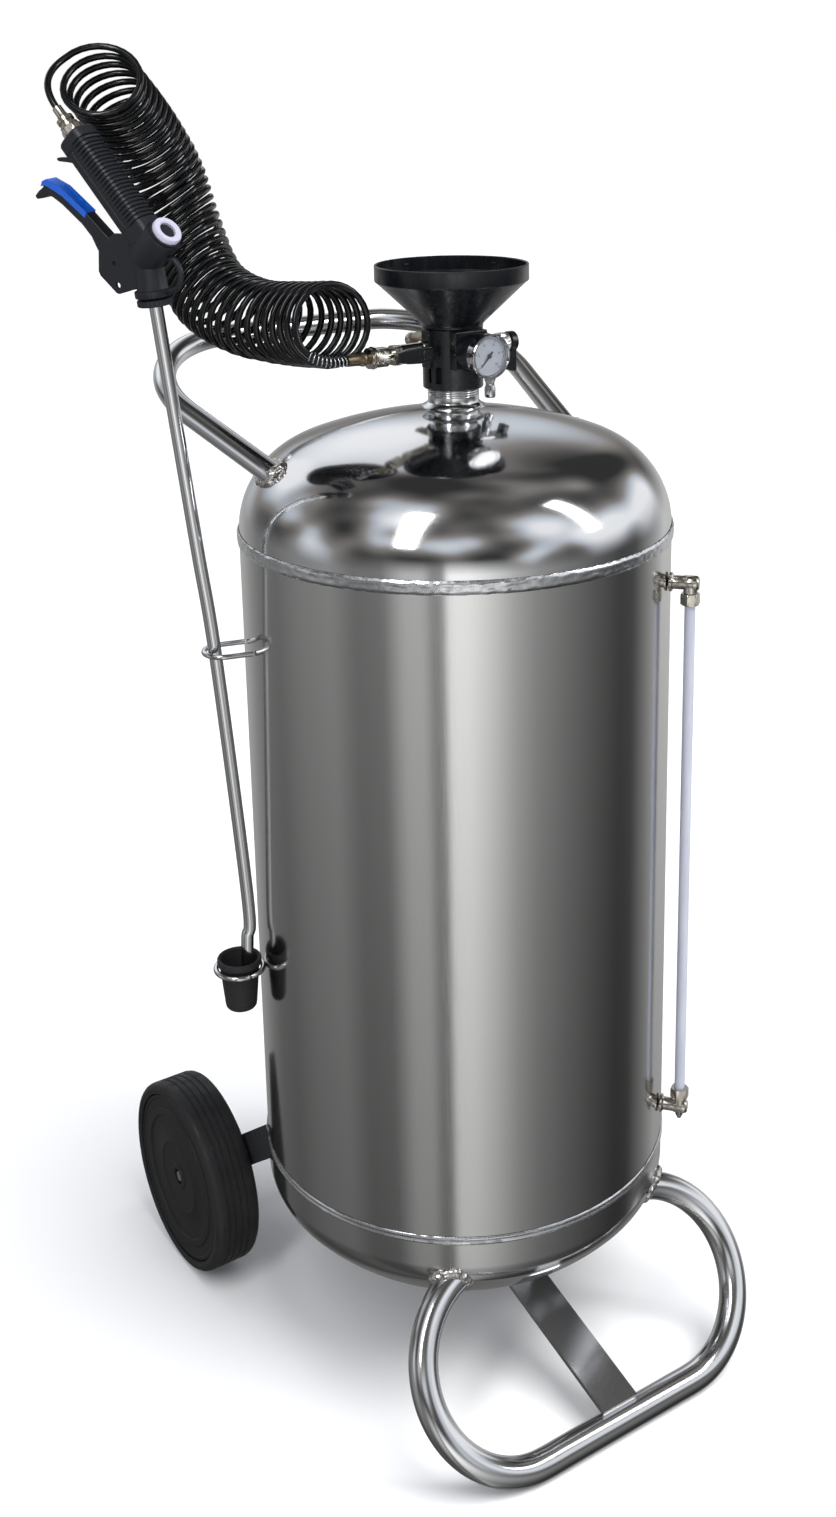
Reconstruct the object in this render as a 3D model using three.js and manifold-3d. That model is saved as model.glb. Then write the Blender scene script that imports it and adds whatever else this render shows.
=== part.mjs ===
// Wheeled stainless steel pressure sprayer: a tank charged with compressed air, a filler funnel with
// its valves and gauge, a level tube, a push handle, a foot loop, two wheels, and a spray gun with its
// lance and spiral hose. Millimetres, +Z up, floor at z = 0, tank axis at x = y = 0, front towards -Y.
import * as THREE from "three";
import { mergeVertices } from "three/addons/utils/BufferGeometryUtils.js";
import Module from "manifold-3d";

const wasm = await Module();
wasm.setup();

// ---- clearances ----
const GAP = 0.3; // between pieces that touch
const RUN = 0.35; // around a shaft that turns or slides

// ---- tank ----
const TANK_R = 200;
const WALL = 2;
const LOW_SEAM_Z = 204; // bottom head meets the shell
const SHELL_LENGTH = 623;
const HIGH_SEAM_Z = LOW_SEAM_Z + SHELL_LENGTH;
const TOP_HEAD = { crown: 420, knuckle: 85, flange: 3 };
const LOW_HEAD = { crown: 245, knuckle: 42, flange: 28 };
const SEAM_BEAD = { width: 11, height: 1.8 };
const TANK_SIDES = 40;

// ---- filler neck and body ----
const NECK_R = 23.5;
const NECK_BORE_R = 19;
const NECK_DROP = 10; // how far the neck hangs inside the tank
const NECK_HEIGHT = 38; // neck top above the crown
const NECK_FLANGE = { r: NECK_R + 6, above: 4.5, thick: 2.5 };
const BODY_WALL = 4; // filler body around the neck
const BODY_R = NECK_R + BODY_WALL;
const BODY_BASE_ABOVE = 22; // body's bottom face above the crown
const BODY_HEIGHT = 55;
const LUG = { reach: BODY_R + 2.5, width: 15, length: 34 };
const FILL_BORE_R = 9;
const PORT_R = 7; // threaded ports in the body
const PORT_DEPTH = 11.5;
const PORT_HEIGHT = 35; // port axis above the body's bottom face
const STUB_R = PORT_R - GAP; // threaded end of each fitting
const DIP_TUBE = { r: 4, wall: 1, x: -14, foot: 14 };

// ---- funnel and its plug ----
const FUNNEL = { rimR: 69.5, rimHeight: 15, coneHeight: 41, baseR: BODY_R - 0.5, wall: 2.4, throatR: 14, throat: 4 };
const PLUG = { flange: 4.5, knobR: 12, knobHeight: 9, stemR: 4, height: 30, depth: 14 };

// ---- gauge ----
const GAUGE = { r: 20, depth: 13, stemR: 4.7, bossR: 17, reach: BODY_R + 20.5, faceR: 17.6 };
const NEEDLE_REST = 138; // pointer's angle at zero pressure, anticlockwise from upright

// ---- outlet valve and hose tail, along -X ----
const PORT_FACE = BODY_R + 0.5; // where a fitting's shoulder starts
const VALVE = {
  r: 9.5, start: PORT_FACE, end: PORT_FACE + 38, threadR: 6, threadEnd: PORT_FACE + 54,
  boreR: 3.5, ballR: 6.5, ballAt: PORT_FACE + 10,
};
const LEVER = { width: 13, thick: 5, tip: PORT_FACE + 42, front: 12.5, stemR: 2 };
const NUT = { r: 9.5, start: PORT_FACE + 42, end: PORT_FACE + 62, lip: 3 };
const TAIL = { shankR: 4.6, ferrule: PORT_FACE + 66, ferruleR: 6, end: PORT_FACE + 84 };
const HOSE_R = 3;
const GUARD_R = 6.3;

// ---- air inlet valve (+X) and safety valve (+Y) ----
const INLET = {
  r: 8.5, end: PORT_FACE + 32, nippleX: PORT_FACE + 13, nippleR: 5.3, nippleDrop: 50,
  knobR: 9.5, knobDepth: 8, leverDrop: 27,
};
const SAFETY = { r: 9, end: PORT_FACE + 32, capR: 7, capEnd: PORT_FACE + 43 };

// ---- level tube ----
const LEVEL_ANGLE = -50; // degrees round the tank from +X
const LEVEL_OFFSET = 20; // tube axis from the tank wall
const LEVEL_R = 5;
const LEVEL_WALL = 1.2;
const LEVEL_LOW_Z = 247;
const LEVEL_HIGH_Z = 785;
const LEVEL_BODY_R = 6.8;
const LEVEL_NUT = { r: 9, height: 11 };

// ---- push handle ----
const HANDLE = { r: 11, halfWidth: 193, bendR: 115, depth: 251, splay: 12, slope: 20, y: 50 };

// ---- foot loop, strut and its welds ----
const FOOT = { r: 13.5, halfWidth: 178, bendR: 90, y: -150, z: 158, frontY: -252, flat: 0.25 };
const STRUT = { width: 40, thick: 5, endY: -96 };
const WELD_WIDTH = 4;

// ---- wheels ----
const WHEEL = { r: 100, width: 48.6, x: TANK_R + 7.2, y: TANK_R + 8, rimR: 88.7, boreR: 6.35, shoulder: 3 };
const WHEEL_SIDES = 32; // a multiple of four, so that a corner of the tread is at the bottom
const AXLE_R = WHEEL.boreR - RUN;
const AXLE_RECESS = 3.5; // axle end inside the wheel's outer face
const BRACKET_X = TANK_R - 24;
const BRACKET_SINK = 11; // plate's end inside the tank's line, before the tank is cut away
const BRACKET = {
  height: 32, thick: 5, x: BRACKET_X, topY: Math.sqrt(TANK_R ** 2 - BRACKET_X ** 2) - BRACKET_SINK, topZ: 195,
};

// ---- lance holders ----
const HOLDER_ANGLE = 165; // degrees round the tank
const CUP = { offset: 24, z: 425, rimR: 21, topR: 19.4, baseR: 15, height: 52, wall: 1.8, rimHeight: 7 };
const RING_WIRE_R = 2.6;
const RING_DROP = 11; // ring below the cup's rim
const LANCE_R = 6;
const LOOP = { wireR: 2.5, halfWidth: LANCE_R + 12, reach: LANCE_R + 37.5, z: 732 };

// ---- gun and lance ----
const LANCE_BORE_R = 4;
const LANCE_TOP = [65.7, 1047]; // distance from the tank wall and height
const LANCE_MID = [30.5, 723];
const LANCE_BEND = [13, 484];
const LANCE_TIP = [17.5, 402];
const GUN_TURN = -68.6; // heading of the gun's back, degrees from +X
const GRIP = { lean: 36, depth: 30, width: 26, start: -6, end: 102 };
const CHEEK = { gap: 14.8, thick: 3 };
const TRIGGER = { width: 14, pinX: -30, pinZ: 38, pinR: 2.2 };
const LOCK = { thick: 5, reach: 26, pinR: 1.5, sink: 4, below: 16 };

// ---- spiral hose: middle of the coil, from the valve's end to the gun's end ----
const COIL_R = 36.5;
const COIL_ROUTE = [
  [-110, 24, 1023], [-133, 60, 1022], [-158, 92, 1024], [-184, 123, 1041],
  [-186, 147, 1091], [-194, 163, 1143], [-218, 167, 1188], [-261, 151, 1233],
];
// From the hose tail, as distance from the body and height above the port, to the coil's side.
const VALVE_LEAD = [
  [-98, 0, 0], [-112, 0, 0], [-124, 0, 0], [-135, 1, 3], [-145, 4, 9], [-150, 11, 12], [-149, 16.5, 13],
];
// From the top of the gun's fitting, over the top turn and down to the coil's end.
const GUN_LEAD = [[-307, 156, 1225], [-310, 161, 1240], [-302, 161, 1256], [-283, 157, 1268], [-262, 152, 1266]];
const GUN_LEAD_END = [-245.6, 156.6, 1251.6];

const UP = new THREE.Vector3(0, 0, 1);
const rad = THREE.MathUtils.degToRad;
const vec = (x, y, z) => new THREE.Vector3(x, y, z);

// ---- solids ----

// A closed solid from a geometry, with its shared vertices merged and its faces pointing out.
function solid(geometry, matrix) {
  const bare = geometry.clone();
  bare.deleteAttribute("normal");
  bare.deleteAttribute("uv");
  if (matrix) bare.applyMatrix4(matrix);
  const merged = mergeVertices(bare, 1e-3);
  const position = merged.getAttribute("position");
  const index = merged.getIndex().array;
  const triangles = [];
  let volume = 0;
  const [a, b, c] = [vec(0, 0, 0), vec(0, 0, 0), vec(0, 0, 0)];
  for (let i = 0; i < index.length; i += 3) {
    const [p, q, r] = [index[i], index[i + 1], index[i + 2]];
    if (p === q || q === r || p === r) continue;
    triangles.push([p, q, r]);
    a.fromBufferAttribute(position, p);
    b.fromBufferAttribute(position, q);
    c.fromBufferAttribute(position, r);
    volume += a.dot(b.cross(c));
  }
  const turned = triangles.map(([p, q, r]) => (volume < 0 ? [p, r, q] : [p, q, r]));
  const mesh = new wasm.Mesh({
    numProp: 3,
    vertProperties: new Float32Array(position.array),
    triVerts: new Uint32Array(turned.flat()),
  });
  return new wasm.Manifold(mesh);
}

function geometryOf(body) {
  const mesh = body.getMesh();
  const geometry = new THREE.BufferGeometry();
  geometry.setAttribute("position", new THREE.BufferAttribute(new Float32Array(mesh.vertProperties), 3));
  geometry.setIndex(new THREE.BufferAttribute(new Uint32Array(mesh.triVerts), 1));
  geometry.computeVertexNormals();
  return geometry;
}

const join = (first, ...others) => others.reduce((sum, part) => sum.add(part), first);
const cut = (first, ...others) => others.reduce((rest, part) => rest.subtract(part), first);

// A matrix that turns +Z to a direction and then moves to a point.
function placed(point, direction = UP) {
  const turn = new THREE.Quaternion().setFromUnitVectors(UP, direction.clone().normalize());
  return new THREE.Matrix4().compose(point, turn, vec(1, 1, 1));
}

// A turned piece: its outline is [radius, height] pairs, about +Z before it is placed.
function turned(outline, sides, matrix) {
  const points = outline.map(([r, z]) => new THREE.Vector2(r, z));
  const geometry = new THREE.LatheGeometry(points, sides);
  geometry.rotateX(Math.PI / 2);
  return solid(geometry, matrix);
}

function rod(r, from, to, sides = 20) {
  const along = to.clone().sub(from);
  return turned([[0, 0], [r, 0], [r, along.length()], [0, along.length()]], sides, placed(from, along));
}

const ringOutline = (inner, outer, low, high) => [
  [inner, low], [outer, low], [outer, high], [inner, high], [inner, low],
];

function block(size, centre, matrix) {
  const geometry = new THREE.BoxGeometry(...size);
  geometry.translate(...centre);
  return solid(geometry, matrix);
}

// A flat outline given a thickness along its own +Z.
function plate(outline, thick, matrix) {
  const shape = new THREE.Shape(outline.map(([x, y]) => new THREE.Vector2(x, y)));
  return solid(new THREE.ExtrudeGeometry(shape, { depth: thick, bevelEnabled: false }), matrix);
}

function circlePoints(r, sides) {
  const step = (2 * Math.PI) / sides;
  return Array.from({ length: sides }, (_, i) => new THREE.Vector2(r * Math.cos(i * step), r * Math.sin(i * step)));
}

// A tube or bar along a curve, with a bore where one is given.
function pipe(curve, r, steps, sides = 12, bore = 0) {
  const shape = new THREE.Shape(circlePoints(r, sides));
  if (bore) shape.holes.push(new THREE.Path(circlePoints(bore, sides)));
  return solid(new THREE.ExtrudeGeometry(shape, { steps, extrudePath: curve, bevelEnabled: false }));
}

const curveThrough = (points) => new THREE.CatmullRomCurve3(points);

// ---- finishes ----

const finish = (color, roughness, metalness) => () => new THREE.MeshStandardMaterial({ color, roughness, metalness });
const polishedSteel = finish(0xb9b5b0, 0.25, 1);
const brushedSteel = finish(0x9a9a98, 0.4, 1);
const groundWeld = finish(0xa8a49d, 0.5, 1);
const nickel = finish(0xc4bfb6, 0.25, 1);
const brass = finish(0x9c8560, 0.35, 1);
const blackPlastic = finish(0x17181b, 0.45, 0);
const softBlack = finish(0x1b1b1d, 0.7, 0);
const tyreRubber = finish(0x202022, 0.8, 0);
const hosePlastic = finish(0x0c0d10, 0.2, 0);
const blackPaint = finish(0x232426, 0.5, 0.3);
const bluePlastic = finish(0x0f4fa8, 0.35, 0);
const greyPlastic = finish(0xb6b4c4, 0.5, 0);
const milkyTube = finish(0xd4dae6, 0.3, 0);
const dialWhite = finish(0xd9dee6, 0.6, 0);
const clearLens = finish(0xe8eef2, 0.05, 0);

const machine = new THREE.Group();
function piece(name, body, material, parent = machine) {
  const mesh = new THREE.Mesh(geometryOf(body), material());
  mesh.name = name;
  parent.add(mesh);
  return mesh;
}

// ---- tank heads ----

// Outline of a dished head from its flange to the radius where it stops; offset moves the skin outwards.
function headOutline({ crown, knuckle, flange }, offset, stopR, arcSteps = 4) {
  const inner = TANK_R - knuckle;
  const drop = Math.sqrt((crown - knuckle) ** 2 - inner ** 2);
  const lean = Math.asin(inner / (crown - knuckle));
  const points = [[TANK_R + offset, 0]];
  for (let i = 0; i <= arcSteps; i++) {
    const t = ((Math.PI / 2 - lean) * i) / arcSteps;
    points.push([inner + (knuckle + offset) * Math.cos(t), flange + (knuckle + offset) * Math.sin(t)]);
  }
  const stop = Math.asin(stopR / (crown + offset));
  for (let i = 1; i <= arcSteps; i++) {
    const t = lean + ((stop - lean) * i) / arcSteps;
    points.push([(crown + offset) * Math.sin(t), flange - drop + (crown + offset) * Math.cos(t)]);
  }
  return points;
}

function headDepth(head) {
  const outline = headOutline(head, 0, 0);
  return outline[outline.length - 1][1];
}

const CROWN_Z = HIGH_SEAM_Z + headDepth(TOP_HEAD);

// A filled head, grown by an offset, for cutting what is welded to it.
function headFill(head, seamZ, side, offset) {
  const outline = headOutline(head, offset, 0);
  const full = [[0, -TANK_R], [TANK_R + offset, -TANK_R], ...outline];
  return turned(full.map(([r, z]) => [r, seamZ + side * z]), TANK_SIDES);
}

function headShell(head, seamZ, side, holeR) {
  const inner = headOutline(head, -WALL, holeR).reverse();
  const outline = [...inner, ...headOutline(head, 0, holeR)];
  if (holeR > 0) outline.push(inner[0]);
  const rimLift = GAP / 2; // keeps the two rims apart at the seam
  return turned(outline.map(([r, z]) => [r, seamZ + side * (z === 0 ? rimLift : z)]), TANK_SIDES);
}

function seamBead(seamZ) {
  const low = TANK_R + GAP;
  const half = SEAM_BEAD.width / 2;
  const outline = [[low, -half], [low + SEAM_BEAD.height * 0.8, -half / 2], [low + SEAM_BEAD.height, 0]];
  outline.push([low + SEAM_BEAD.height * 0.8, half / 2], [low, half], [low, -half]);
  return turned(outline.map(([r, z]) => [r, seamZ + z]), TANK_SIDES);
}

function buildTank() {
  const shell = ringOutline(TANK_R - WALL, TANK_R, LOW_SEAM_Z + GAP / 2, HIGH_SEAM_Z - GAP / 2);
  piece("tank_shell", turned(shell, TANK_SIDES), brushedSteel);
  piece("top_head", headShell(TOP_HEAD, HIGH_SEAM_Z, 1, NECK_R + GAP), polishedSteel);
  piece("bottom_head", headShell(LOW_HEAD, LOW_SEAM_Z, -1, 0), brushedSteel);
  piece("top_seam_weld", seamBead(HIGH_SEAM_Z), groundWeld);
  piece("bottom_seam_weld", seamBead(LOW_SEAM_Z), groundWeld);
}

// ---- filler neck, body, funnel and plug ----

const BODY_Z = CROWN_Z + BODY_BASE_ABOVE;
const BODY_TOP = BODY_Z + BODY_HEIGHT;
const PORT_Z = BODY_Z + PORT_HEIGHT;
const NECK_TOP = CROWN_Z + NECK_HEIGHT;
const GASKET = 2;
const SHOULDER_Z = NECK_TOP + GASKET + 2 * GAP; // step inside the body above the gasket

function buildNeck() {
  const flangeLow = CROWN_Z + NECK_FLANGE.above;
  const flangeHigh = flangeLow + NECK_FLANGE.thick;
  const outline = [
    [NECK_BORE_R, CROWN_Z - NECK_DROP], [NECK_R, CROWN_Z - NECK_DROP], [NECK_R, flangeLow - 1],
    [NECK_FLANGE.r, flangeLow], [NECK_R + 2, flangeHigh], [NECK_R, flangeHigh + 1],
    [NECK_R, NECK_TOP], [NECK_BORE_R, NECK_TOP], [NECK_BORE_R, CROWN_Z - NECK_DROP],
  ];
  piece("filler_neck", turned(outline, 28), polishedSteel);
  const gasket = ringOutline(NECK_BORE_R, NECK_R, NECK_TOP + GAP, NECK_TOP + GAP + GASKET);
  piece("neck_gasket", turned(gasket, 28), softBlack);
  const foot = LOW_SEAM_Z - headDepth(LOW_HEAD) + WALL + DIP_TUBE.foot;
  const dip = ringOutline(DIP_TUBE.r - DIP_TUBE.wall, DIP_TUBE.r, foot, SHOULDER_Z - GAP);
  piece("dip_tube", turned(dip, 14, placed(vec(DIP_TUBE.x, 0, 0))), polishedSteel);
}

// The four sides of the body, each with a port: outwards directions.
const SIDES = { left: vec(-1, 0, 0), right: vec(1, 0, 0), front: vec(0, -1, 0), back: vec(0, 1, 0) };
const atPort = (side, distance) => side.clone().multiplyScalar(distance).setZ(PORT_Z);

function bodyLugs() {
  const z = BODY_TOP - LUG.length / 2 - 1;
  const low = FILL_BORE_R + 8;
  const size = [LUG.reach - low, LUG.width, LUG.length];
  return [45, 135, 225, 315].map((angle) => {
    const turn = new THREE.Matrix4().makeRotationZ(rad(angle));
    return block(size, [(LUG.reach + low) / 2, 0, z], turn);
  });
}

function buildBody() {
  const barrel = rod(BODY_R, vec(0, 0, BODY_Z), vec(0, 0, BODY_TOP), 28);
  const boss = rod(GAUGE.bossR, atPort(SIDES.front, FILL_BORE_R + 6), atPort(SIDES.front, GAUGE.reach), 28);
  const neckBore = rod(NECK_R + GAP, vec(0, 0, BODY_Z - 5), vec(0, 0, SHOULDER_Z), 28);
  const fillBore = rod(FILL_BORE_R, vec(0, 0, BODY_Z), vec(0, 0, BODY_TOP + 5), 28);
  let body = cut(join(barrel, boss, ...bodyLugs()), neckBore, fillBore);
  const portEnd = BODY_R - PORT_DEPTH;
  for (const side of [SIDES.left, SIDES.right, SIDES.back]) {
    body = cut(body, rod(PORT_R, atPort(side, portEnd), atPort(side, LUG.reach + 5)));
  }
  const waterway = DIP_TUBE.r - DIP_TUBE.wall;
  const dipTop = vec(DIP_TUBE.x, 0, PORT_Z);
  body = cut(body, rod(waterway, vec(DIP_TUBE.x, 0, SHOULDER_Z - 1), dipTop, 12));
  body = cut(body, rod(waterway, dipTop.clone().setX(DIP_TUBE.x + 1), atPort(SIDES.left, BODY_R), 12));
  body = cut(body, rod(waterway, atPort(SIDES.back, FILL_BORE_R - 2), atPort(SIDES.back, BODY_R), 12));
  body = cut(body, rod(waterway, atPort(SIDES.right, FILL_BORE_R - 2), atPort(SIDES.right, BODY_R), 12));
  body = cut(body, rod(GAUGE.stemR + GAP, atPort(SIDES.front, FILL_BORE_R - 2), atPort(SIDES.front, 60), 16));
  piece("filler_body", body, blackPlastic);
}

function buildFunnel() {
  const low = BODY_TOP + GAP;
  const coneTop = low + FUNNEL.coneHeight;
  const top = coneTop + FUNNEL.rimHeight;
  const { rimR, baseR, wall, throatR, throat } = FUNNEL;
  const outline = [
    [throatR, low], [baseR, low], [baseR, low + 2], [rimR - 1, coneTop], [rimR, coneTop + 1], [rimR, top],
    [rimR - wall, top], [rimR - wall, coneTop + wall], [throatR, low + throat], [throatR, low],
  ];
  piece("funnel", turned(outline, 40), blackPlastic);
  const seat = BODY_TOP + GAP;
  const knobLow = seat + PLUG.height - PLUG.knobHeight;
  const plug = [
    [0, seat - PLUG.depth], [FILL_BORE_R - RUN, seat - PLUG.depth], [FILL_BORE_R - RUN, seat],
    [throatR - RUN, seat], [throatR - RUN, seat + PLUG.flange], [PLUG.stemR, seat + PLUG.flange],
    [PLUG.stemR, knobLow], [PLUG.knobR, knobLow], [PLUG.knobR, seat + PLUG.height], [0, seat + PLUG.height],
  ];
  piece("fill_plug", turned(plug, 24), softBlack);
}

// ---- gauge, facing -Y ----

function buildGauge() {
  const front = GAUGE.reach + GAP + GAUGE.depth;
  const at = placed(vec(0, 0, PORT_Z), SIDES.front);
  const dialAt = front - 5;
  const floor = dialAt - 3;
  const lensBack = front - 2;
  const stemEnd = FILL_BORE_R + 3;
  const outline = [
    [0, stemEnd], [GAUGE.stemR, stemEnd], [GAUGE.stemR, GAUGE.reach + GAP], [GAUGE.r - 1, GAUGE.reach + GAP],
    [GAUGE.r - 1, lensBack - 1], [GAUGE.r, lensBack], [GAUGE.r, front], [GAUGE.faceR, front],
    [GAUGE.faceR, floor], [0, floor],
  ];
  piece("gauge_case", turned(outline, 32, at), nickel);
  const dial = ringOutline(1.4, GAUGE.faceR - GAP, dialAt - 0.8, dialAt);
  piece("gauge_dial", turned(dial, 32, at), dialWhite);
  const lens = [[0, lensBack], [GAUGE.faceR - GAP, lensBack], [GAUGE.faceR - GAP, lensBack + 1], [0, lensBack + 1]];
  piece("gauge_lens", turned(lens, 32, at), clearLens);
  const post = turned([[0, floor + GAP], [1, floor + GAP], [1, dialAt + 1.2], [0, dialAt + 1.2]], 10);
  const hand = plate([[-0.6, -5], [0.6, -5], [1.1, 0], [0.25, 13], [-0.25, 13], [-1.1, 0]], 0.6);
  const hub = turned([[0, dialAt + 0.6], [2, dialAt + 0.6], [2, dialAt + 1.4], [0, dialAt + 1.4]], 12);
  const tilt = new THREE.Matrix4().makeRotationZ(rad(NEEDLE_REST)).setPosition(0, 0, dialAt + 0.7);
  const needle = join(post, hub, hand.transform(tilt.elements));
  piece("gauge_needle", needle.transform(at.elements), blackPaint);
}

// ---- outlet valve, union nut, hose tail and spring guard, along -X ----

function buildOutlet() {
  const along = placed(vec(0, 0, PORT_Z), SIDES.left);
  const { r, start, end, threadR, threadEnd, boreR, ballR, ballAt } = VALVE;
  const inner = BODY_R - PORT_DEPTH + GAP;
  const outline = [
    [boreR, inner], [STUB_R, inner], [STUB_R, start + GAP], [r, start + GAP], [r, end], [threadR, end],
    [threadR, threadEnd - GAP], [boreR, threadEnd - GAP], [boreR, inner],
  ];
  const ballOf = (radius) => {
    const arc = [];
    for (let i = 0; i <= 8; i++) {
      const t = -Math.PI / 2 + (Math.PI * i) / 8;
      arc.push([i % 8 === 0 ? 0 : radius * Math.cos(t), ballAt + radius * Math.sin(t)]);
    }
    return turned(arc, 16, along);
  };
  const stemHole = rod(LEVER.stemR + RUN, vec(-ballAt, -3, PORT_Z), vec(-ballAt, -r - 5, PORT_Z), 14);
  piece("outlet_valve_body", cut(turned(outline, 20, along), stemHole, ballOf(ballR + RUN)), nickel);

  const bore = rod(boreR, vec(-ballAt - ballR - 2, 0, PORT_Z), vec(-ballAt + ballR + 2, 0, PORT_Z), 14);
  const slot = block([1.6, 4, 2 * ballR], [-ballAt, -ballR, PORT_Z]);
  piece("valve_ball", cut(ballOf(ballR), bore, slot), nickel);

  const half = LEVER.width / 2;
  const stem = rod(LEVER.stemR, vec(-ballAt, -ballR - GAP + 1, PORT_Z), vec(-ballAt, -LEVER.front, PORT_Z), 14);
  const heel = rod(half, vec(-ballAt, -LEVER.front, PORT_Z), vec(-ballAt, -LEVER.front - LEVER.thick, PORT_Z), 18);
  const length = LEVER.tip - ballAt;
  const arm = block(
    [length, LEVER.thick, LEVER.width],
    [-ballAt - length / 2, -LEVER.front - LEVER.thick / 2, PORT_Z],
  );
  const tongueHole = cut(stem, block([6, 2.2, 6], [-ballAt, -ballR + 0.6, PORT_Z]));
  piece("outlet_lever", join(tongueHole, heel, arm), blackPlastic);

  const lipAt = NUT.end - NUT.lip;
  const hexagon = turned([[0, NUT.start], [NUT.r, NUT.start], [NUT.r, NUT.end], [0, NUT.end]], 6, along);
  const throughHole = rod(TAIL.shankR + GAP, atPort(SIDES.left, NUT.start - 1), atPort(SIDES.left, NUT.end + 1), 18);
  const nutBore = rod(threadR + 2 * GAP, atPort(SIDES.left, NUT.start - 1), atPort(SIDES.left, lipAt), 20);
  piece("union_nut", cut(hexagon, throughHole, nutBore), nickel);
  const hoseSeat = TAIL.end - 14;
  const tail = [
    [HOSE_R - 1, threadEnd], [threadR, threadEnd], [threadR, lipAt - GAP],
    [TAIL.shankR, lipAt - GAP], [TAIL.shankR, TAIL.ferrule], [TAIL.ferruleR, TAIL.ferrule],
    [TAIL.ferruleR, TAIL.end], [HOSE_R + GAP, TAIL.end], [HOSE_R + GAP, hoseSeat],
    [HOSE_R - 1, hoseSeat], [HOSE_R - 1, threadEnd],
  ];
  piece("hose_tail", turned(tail, 18, along), brass);
}

// ---- air inlet valve with its quick-connect nipple, and the safety valve ----

function buildInlet() {
  const along = placed(vec(0, 0, PORT_Z), SIDES.right);
  const inner = BODY_R - PORT_DEPTH + GAP;
  const { r, end, nippleX, nippleR, nippleDrop, knobR, knobDepth, leverDrop } = INLET;
  const stemR = 3;
  const outline = [
    [2, inner], [STUB_R, inner], [STUB_R, PORT_FACE + GAP], [r, PORT_FACE + GAP], [r, end], [stemR + RUN, end],
    [stemR + RUN, nippleX + 6], [2, nippleX + 6], [2, inner],
  ];
  const nipple = rod(nippleR, vec(nippleX, 0, PORT_Z - 4), vec(nippleX, 0, PORT_Z - nippleDrop), 16);
  const way = rod(2, vec(nippleX, 0, PORT_Z), vec(nippleX, 0, PORT_Z - nippleDrop - 1), 10);
  piece("inlet_valve_body", cut(join(turned(outline, 20, along), nipple), way), nickel);
  const knob = [
    [0, nippleX + 6 + GAP], [stemR, nippleX + 6 + GAP], [stemR, end + GAP], [knobR, end + GAP],
    [knobR, end + GAP + knobDepth], [0, end + GAP + knobDepth],
  ];
  const tab = block([knobDepth - 2, 12, leverDrop], [end + GAP + knobDepth / 2, 0, PORT_Z - leverDrop / 2]);
  piece("inlet_lever", join(turned(knob, 20, along), tab), blackPlastic);
}

function buildSafetyValve() {
  const along = placed(vec(0, 0, PORT_Z), SIDES.back);
  const inner = BODY_R - PORT_DEPTH + GAP;
  const { r, end, capR, capEnd } = SAFETY;
  const seat = PORT_FACE + 8;
  const outline = [
    [2, inner], [STUB_R, inner], [STUB_R, PORT_FACE + GAP], [r, PORT_FACE + GAP], [r, end],
    [5, end], [5, seat], [2, seat], [2, inner],
  ];
  piece("safety_valve_body", turned(outline, 20, along), brass);
  const cap = [
    [0, seat + GAP], [5 - GAP, seat + GAP], [5 - GAP, end + GAP], [capR, end + GAP], [capR, capEnd], [0, capEnd],
  ];
  piece("safety_valve_cap", turned(cap, 20, along), nickel);
}

// ---- level tube with its two fittings ----

function levelFitting(name, z, side) {
  const out = vec(Math.cos(rad(LEVEL_ANGLE)), Math.sin(rad(LEVEL_ANGLE)), 0);
  const at = (distance, height) => out.clone().multiplyScalar(TANK_R + distance).setZ(height);
  const arm = rod(LEVEL_BODY_R, at(0.6, z), at(LEVEL_OFFSET + 8, z), 16);
  const stubEnd = z + side * 9;
  const stub = rod(LEVEL_BODY_R - 0.6, at(LEVEL_OFFSET, z), at(LEVEL_OFFSET, stubEnd), 16);
  const socket = rod(LEVEL_R + GAP, at(LEVEL_OFFSET, z + side * 3), at(LEVEL_OFFSET, stubEnd + side), 16);
  const way = rod(2, at(LEVEL_OFFSET, z), at(LEVEL_OFFSET, z + side * 6), 10);
  const inlet = rod(2, at(-1, z), at(LEVEL_OFFSET, z), 10);
  let body = join(arm, stub);
  if (side > 0) body = join(body, rod(4, at(LEVEL_OFFSET, z), at(LEVEL_OFFSET, z - 14), 12));
  piece(`level_fitting_${name}`, cut(body, socket, way, inlet), nickel);
  const ends = [stubEnd + side * GAP, stubEnd + side * (GAP + LEVEL_NUT.height)].sort((p, q) => p - q);
  const nut = rod(LEVEL_NUT.r, at(LEVEL_OFFSET, ends[0]), at(LEVEL_OFFSET, ends[1]), 8);
  const nutBore = rod(LEVEL_R + GAP, at(LEVEL_OFFSET, ends[0] - 1), at(LEVEL_OFFSET, ends[1] + 1), 16);
  piece(`level_nut_${name}`, cut(nut, nutBore), nickel);
}

function buildLevelTube() {
  levelFitting("bottom", LEVEL_LOW_Z, 1);
  levelFitting("top", LEVEL_HIGH_Z, -1);
  const a = rad(LEVEL_ANGLE);
  const centre = vec((TANK_R + LEVEL_OFFSET) * Math.cos(a), (TANK_R + LEVEL_OFFSET) * Math.sin(a), 0);
  const tube = ringOutline(LEVEL_R - LEVEL_WALL, LEVEL_R, LEVEL_LOW_Z + 3 + GAP, LEVEL_HIGH_Z - 3 - GAP);
  piece("level_tube", turned(tube, 16, placed(centre)), milkyTube);
}

// ---- welds between a tube and a head ----

function weldAround(end, r, tube, head, seamZ, side) {
  const collar = cut(pipe(curveThrough(end), r + WELD_WIDTH, 8), tube);
  const skin = cut(headFill(head, seamZ, side, WELD_WIDTH), headFill(head, seamZ, side, GAP));
  return collar.intersect(skin);
}

// ---- push handle ----

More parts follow.
